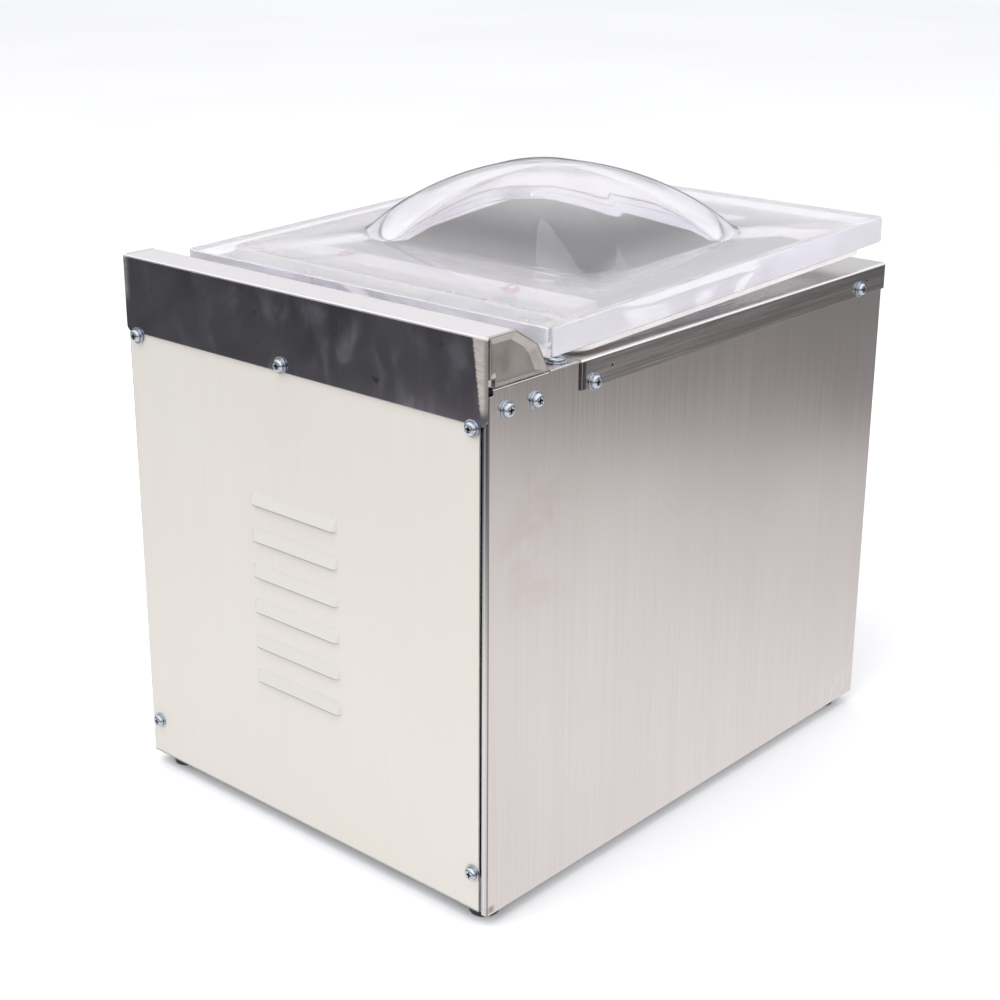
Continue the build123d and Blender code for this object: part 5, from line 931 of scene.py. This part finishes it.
STUDIO_STOPS = (                                   # share of the height from nadir to zenith, and colour
    (0.0, 0.86, 0.84, 0.84),
    (0.290, 0.96, 0.93, 0.93),
    (0.328, 0.86, 0.825, 0.815),
    (0.360, 0.27, 0.26, 0.26),
    (0.42, 0.17, 0.17, 0.18),
    (0.50, 0.13, 0.13, 0.14),
    (0.60, 0.80, 0.80, 0.82),
    (0.78, 1.25, 1.25, 1.28),
    (1.0, 1.4, 1.4, 1.4),
)


def build_world():
    """White to the eye; a table-bright, horizon-dark, ceiling-bright studio in reflections."""
    world = bpy.data.worlds.new("studio")
    bpy.context.scene.world = world
    world.use_nodes = True
    tree = world.node_tree
    tree.nodes.clear()
    out = tree.nodes.new("ShaderNodeOutputWorld")
    place = tree.nodes.new("ShaderNodeTexCoord")
    split = tree.nodes.new("ShaderNodeSeparateXYZ")
    tree.links.new(place.outputs["Generated"], split.inputs[0])
    height = tree.nodes.new("ShaderNodeMapRange")
    tree.links.new(split.outputs[2], height.inputs["Value"])
    height.inputs["From Min"].default_value = -1.0
    ramp = tree.nodes.new("ShaderNodeValToRGB")
    tree.links.new(height.outputs[0], ramp.inputs[0])
    ramp.color_ramp.interpolation = "EASE"
    while len(ramp.color_ramp.elements) < len(STUDIO_STOPS):
        ramp.color_ramp.elements.new(0.5)
    for element, (position, r, g, b) in zip(ramp.color_ramp.elements, STUDIO_STOPS):
        element.position = position
        element.color = (r, g, b, 1.0)
    drift = tree.nodes.new("ShaderNodeTexNoise")
    drift.inputs["Scale"].default_value = 3.2
    drift.inputs["Detail"].default_value = 2.0
    tree.links.new(place.outputs["Generated"], drift.inputs["Vector"])
    sway = tree.nodes.new("ShaderNodeMapRange")
    tree.links.new(drift.outputs[0], sway.inputs["Value"])
    sway.inputs["From Min"].default_value = 0.3
    sway.inputs["From Max"].default_value = 0.7
    sway.inputs["To Min"].default_value = 0.78
    sway.inputs["To Max"].default_value = 1.20
    studio = tree.nodes.new("ShaderNodeBackground")
    tree.links.new(ramp.outputs[0], studio.inputs["Color"])
    tree.links.new(sway.outputs[0], studio.inputs["Strength"])
    plain = tree.nodes.new("ShaderNodeBackground")
    plain.inputs["Color"].default_value = (1.0, 1.0, 1.0, 1.0)
    seen = tree.nodes.new("ShaderNodeLightPath")
    choose = tree.nodes.new("ShaderNodeMixShader")
    through = tree.nodes.new("ShaderNodeMath")
    through.operation = "LESS_THAN"
    tree.links.new(seen.outputs["Transmission Depth"], through.inputs[0])
    through.inputs[1].default_value = 0.5
    both = tree.nodes.new("ShaderNodeMath")
    both.operation = "MULTIPLY"
    tree.links.new(seen.outputs["Is Glossy Ray"], both.inputs[0])
    tree.links.new(through.outputs[0], both.inputs[1])
    tree.links.new(both.outputs[0], choose.inputs[0])
    tree.links.new(plain.outputs[0], choose.inputs[1])
    tree.links.new(studio.outputs[0], choose.inputs[2])
    tree.links.new(choose.outputs[0], out.inputs[0])


def softbox(name, at, toward, size, power):
    """A large soft area light, unseen in polished steel."""
    light = bpy.data.lights.new(name, "AREA")
    light.shape = "RECTANGLE"
    light.size, light.size_y = size
    light.energy = power
    lamp = bpy.data.objects.new(name, light)
    lamp.location = at
    lamp.rotation_mode = "QUATERNION"
    lamp.rotation_quaternion = (Vector(toward) - Vector(at)).to_track_quat("-Z", "Y")
    bpy.context.scene.collection.objects.link(lamp)
    lamp.visible_glossy = False


CAMERA_AT = (-0.8133, 0.9610, 0.6482)
CAMERA_YAW, CAMERA_PITCH, CAMERA_ROLL = math.radians(-47.01), math.radians(-18.96), math.radians(-0.27)
CAMERA_ZOOM, SENSOR = 1.804, 36.0                  # lens length as a share of the sensor's width


def build_camera():
    """Three-quarter view of the rear and left sides from a little above."""
    data = bpy.data.cameras.new("camera")
    camera = bpy.data.objects.new("camera", data)
    bpy.context.scene.collection.objects.link(camera)
    yaw, pitch, roll = CAMERA_YAW, CAMERA_PITCH, CAMERA_ROLL
    level = math.cos(pitch)
    ahead = Vector((level * math.cos(yaw), level * math.sin(yaw), math.sin(pitch)))
    right = ahead.cross(Vector((0, 0, 1))).normalized()
    above = right.cross(ahead)
    turned_right = right * math.cos(roll) + above * math.sin(roll)
    turned_up = above * math.cos(roll) - right * math.sin(roll)
    matrix = Matrix((turned_right, turned_up, -ahead)).transposed().to_4x4()
    matrix.translation = CAMERA_AT
    camera.matrix_world = matrix
    data.sensor_width = SENSOR
    data.lens = CAMERA_ZOOM * SENSOR
    data.shift_x, data.shift_y = 0.0572, -0.0383
    data.clip_start, data.clip_end = 0.02, 60.0
    bpy.context.scene.camera = camera


MACHINE_MIDDLE = (0, 0, 0.2)

build_floor()
build_world()
softbox("key_light", (0.2, 1.6, 2.4), MACHINE_MIDDLE, (2.4, 2.4), 42.0)
softbox("side_light", (-2.0, -0.9, 1.8), MACHINE_MIDDLE, (1.8, 1.8), 16.0)
build_camera()
scene = bpy.context.scene
scene.view_settings.view_transform = "Standard"
scene.cycles.max_bounces = 24                      # the lid and the polished chamber need many
scene.cycles.glossy_bounces = 20
scene.cycles.transmission_bounces = 20
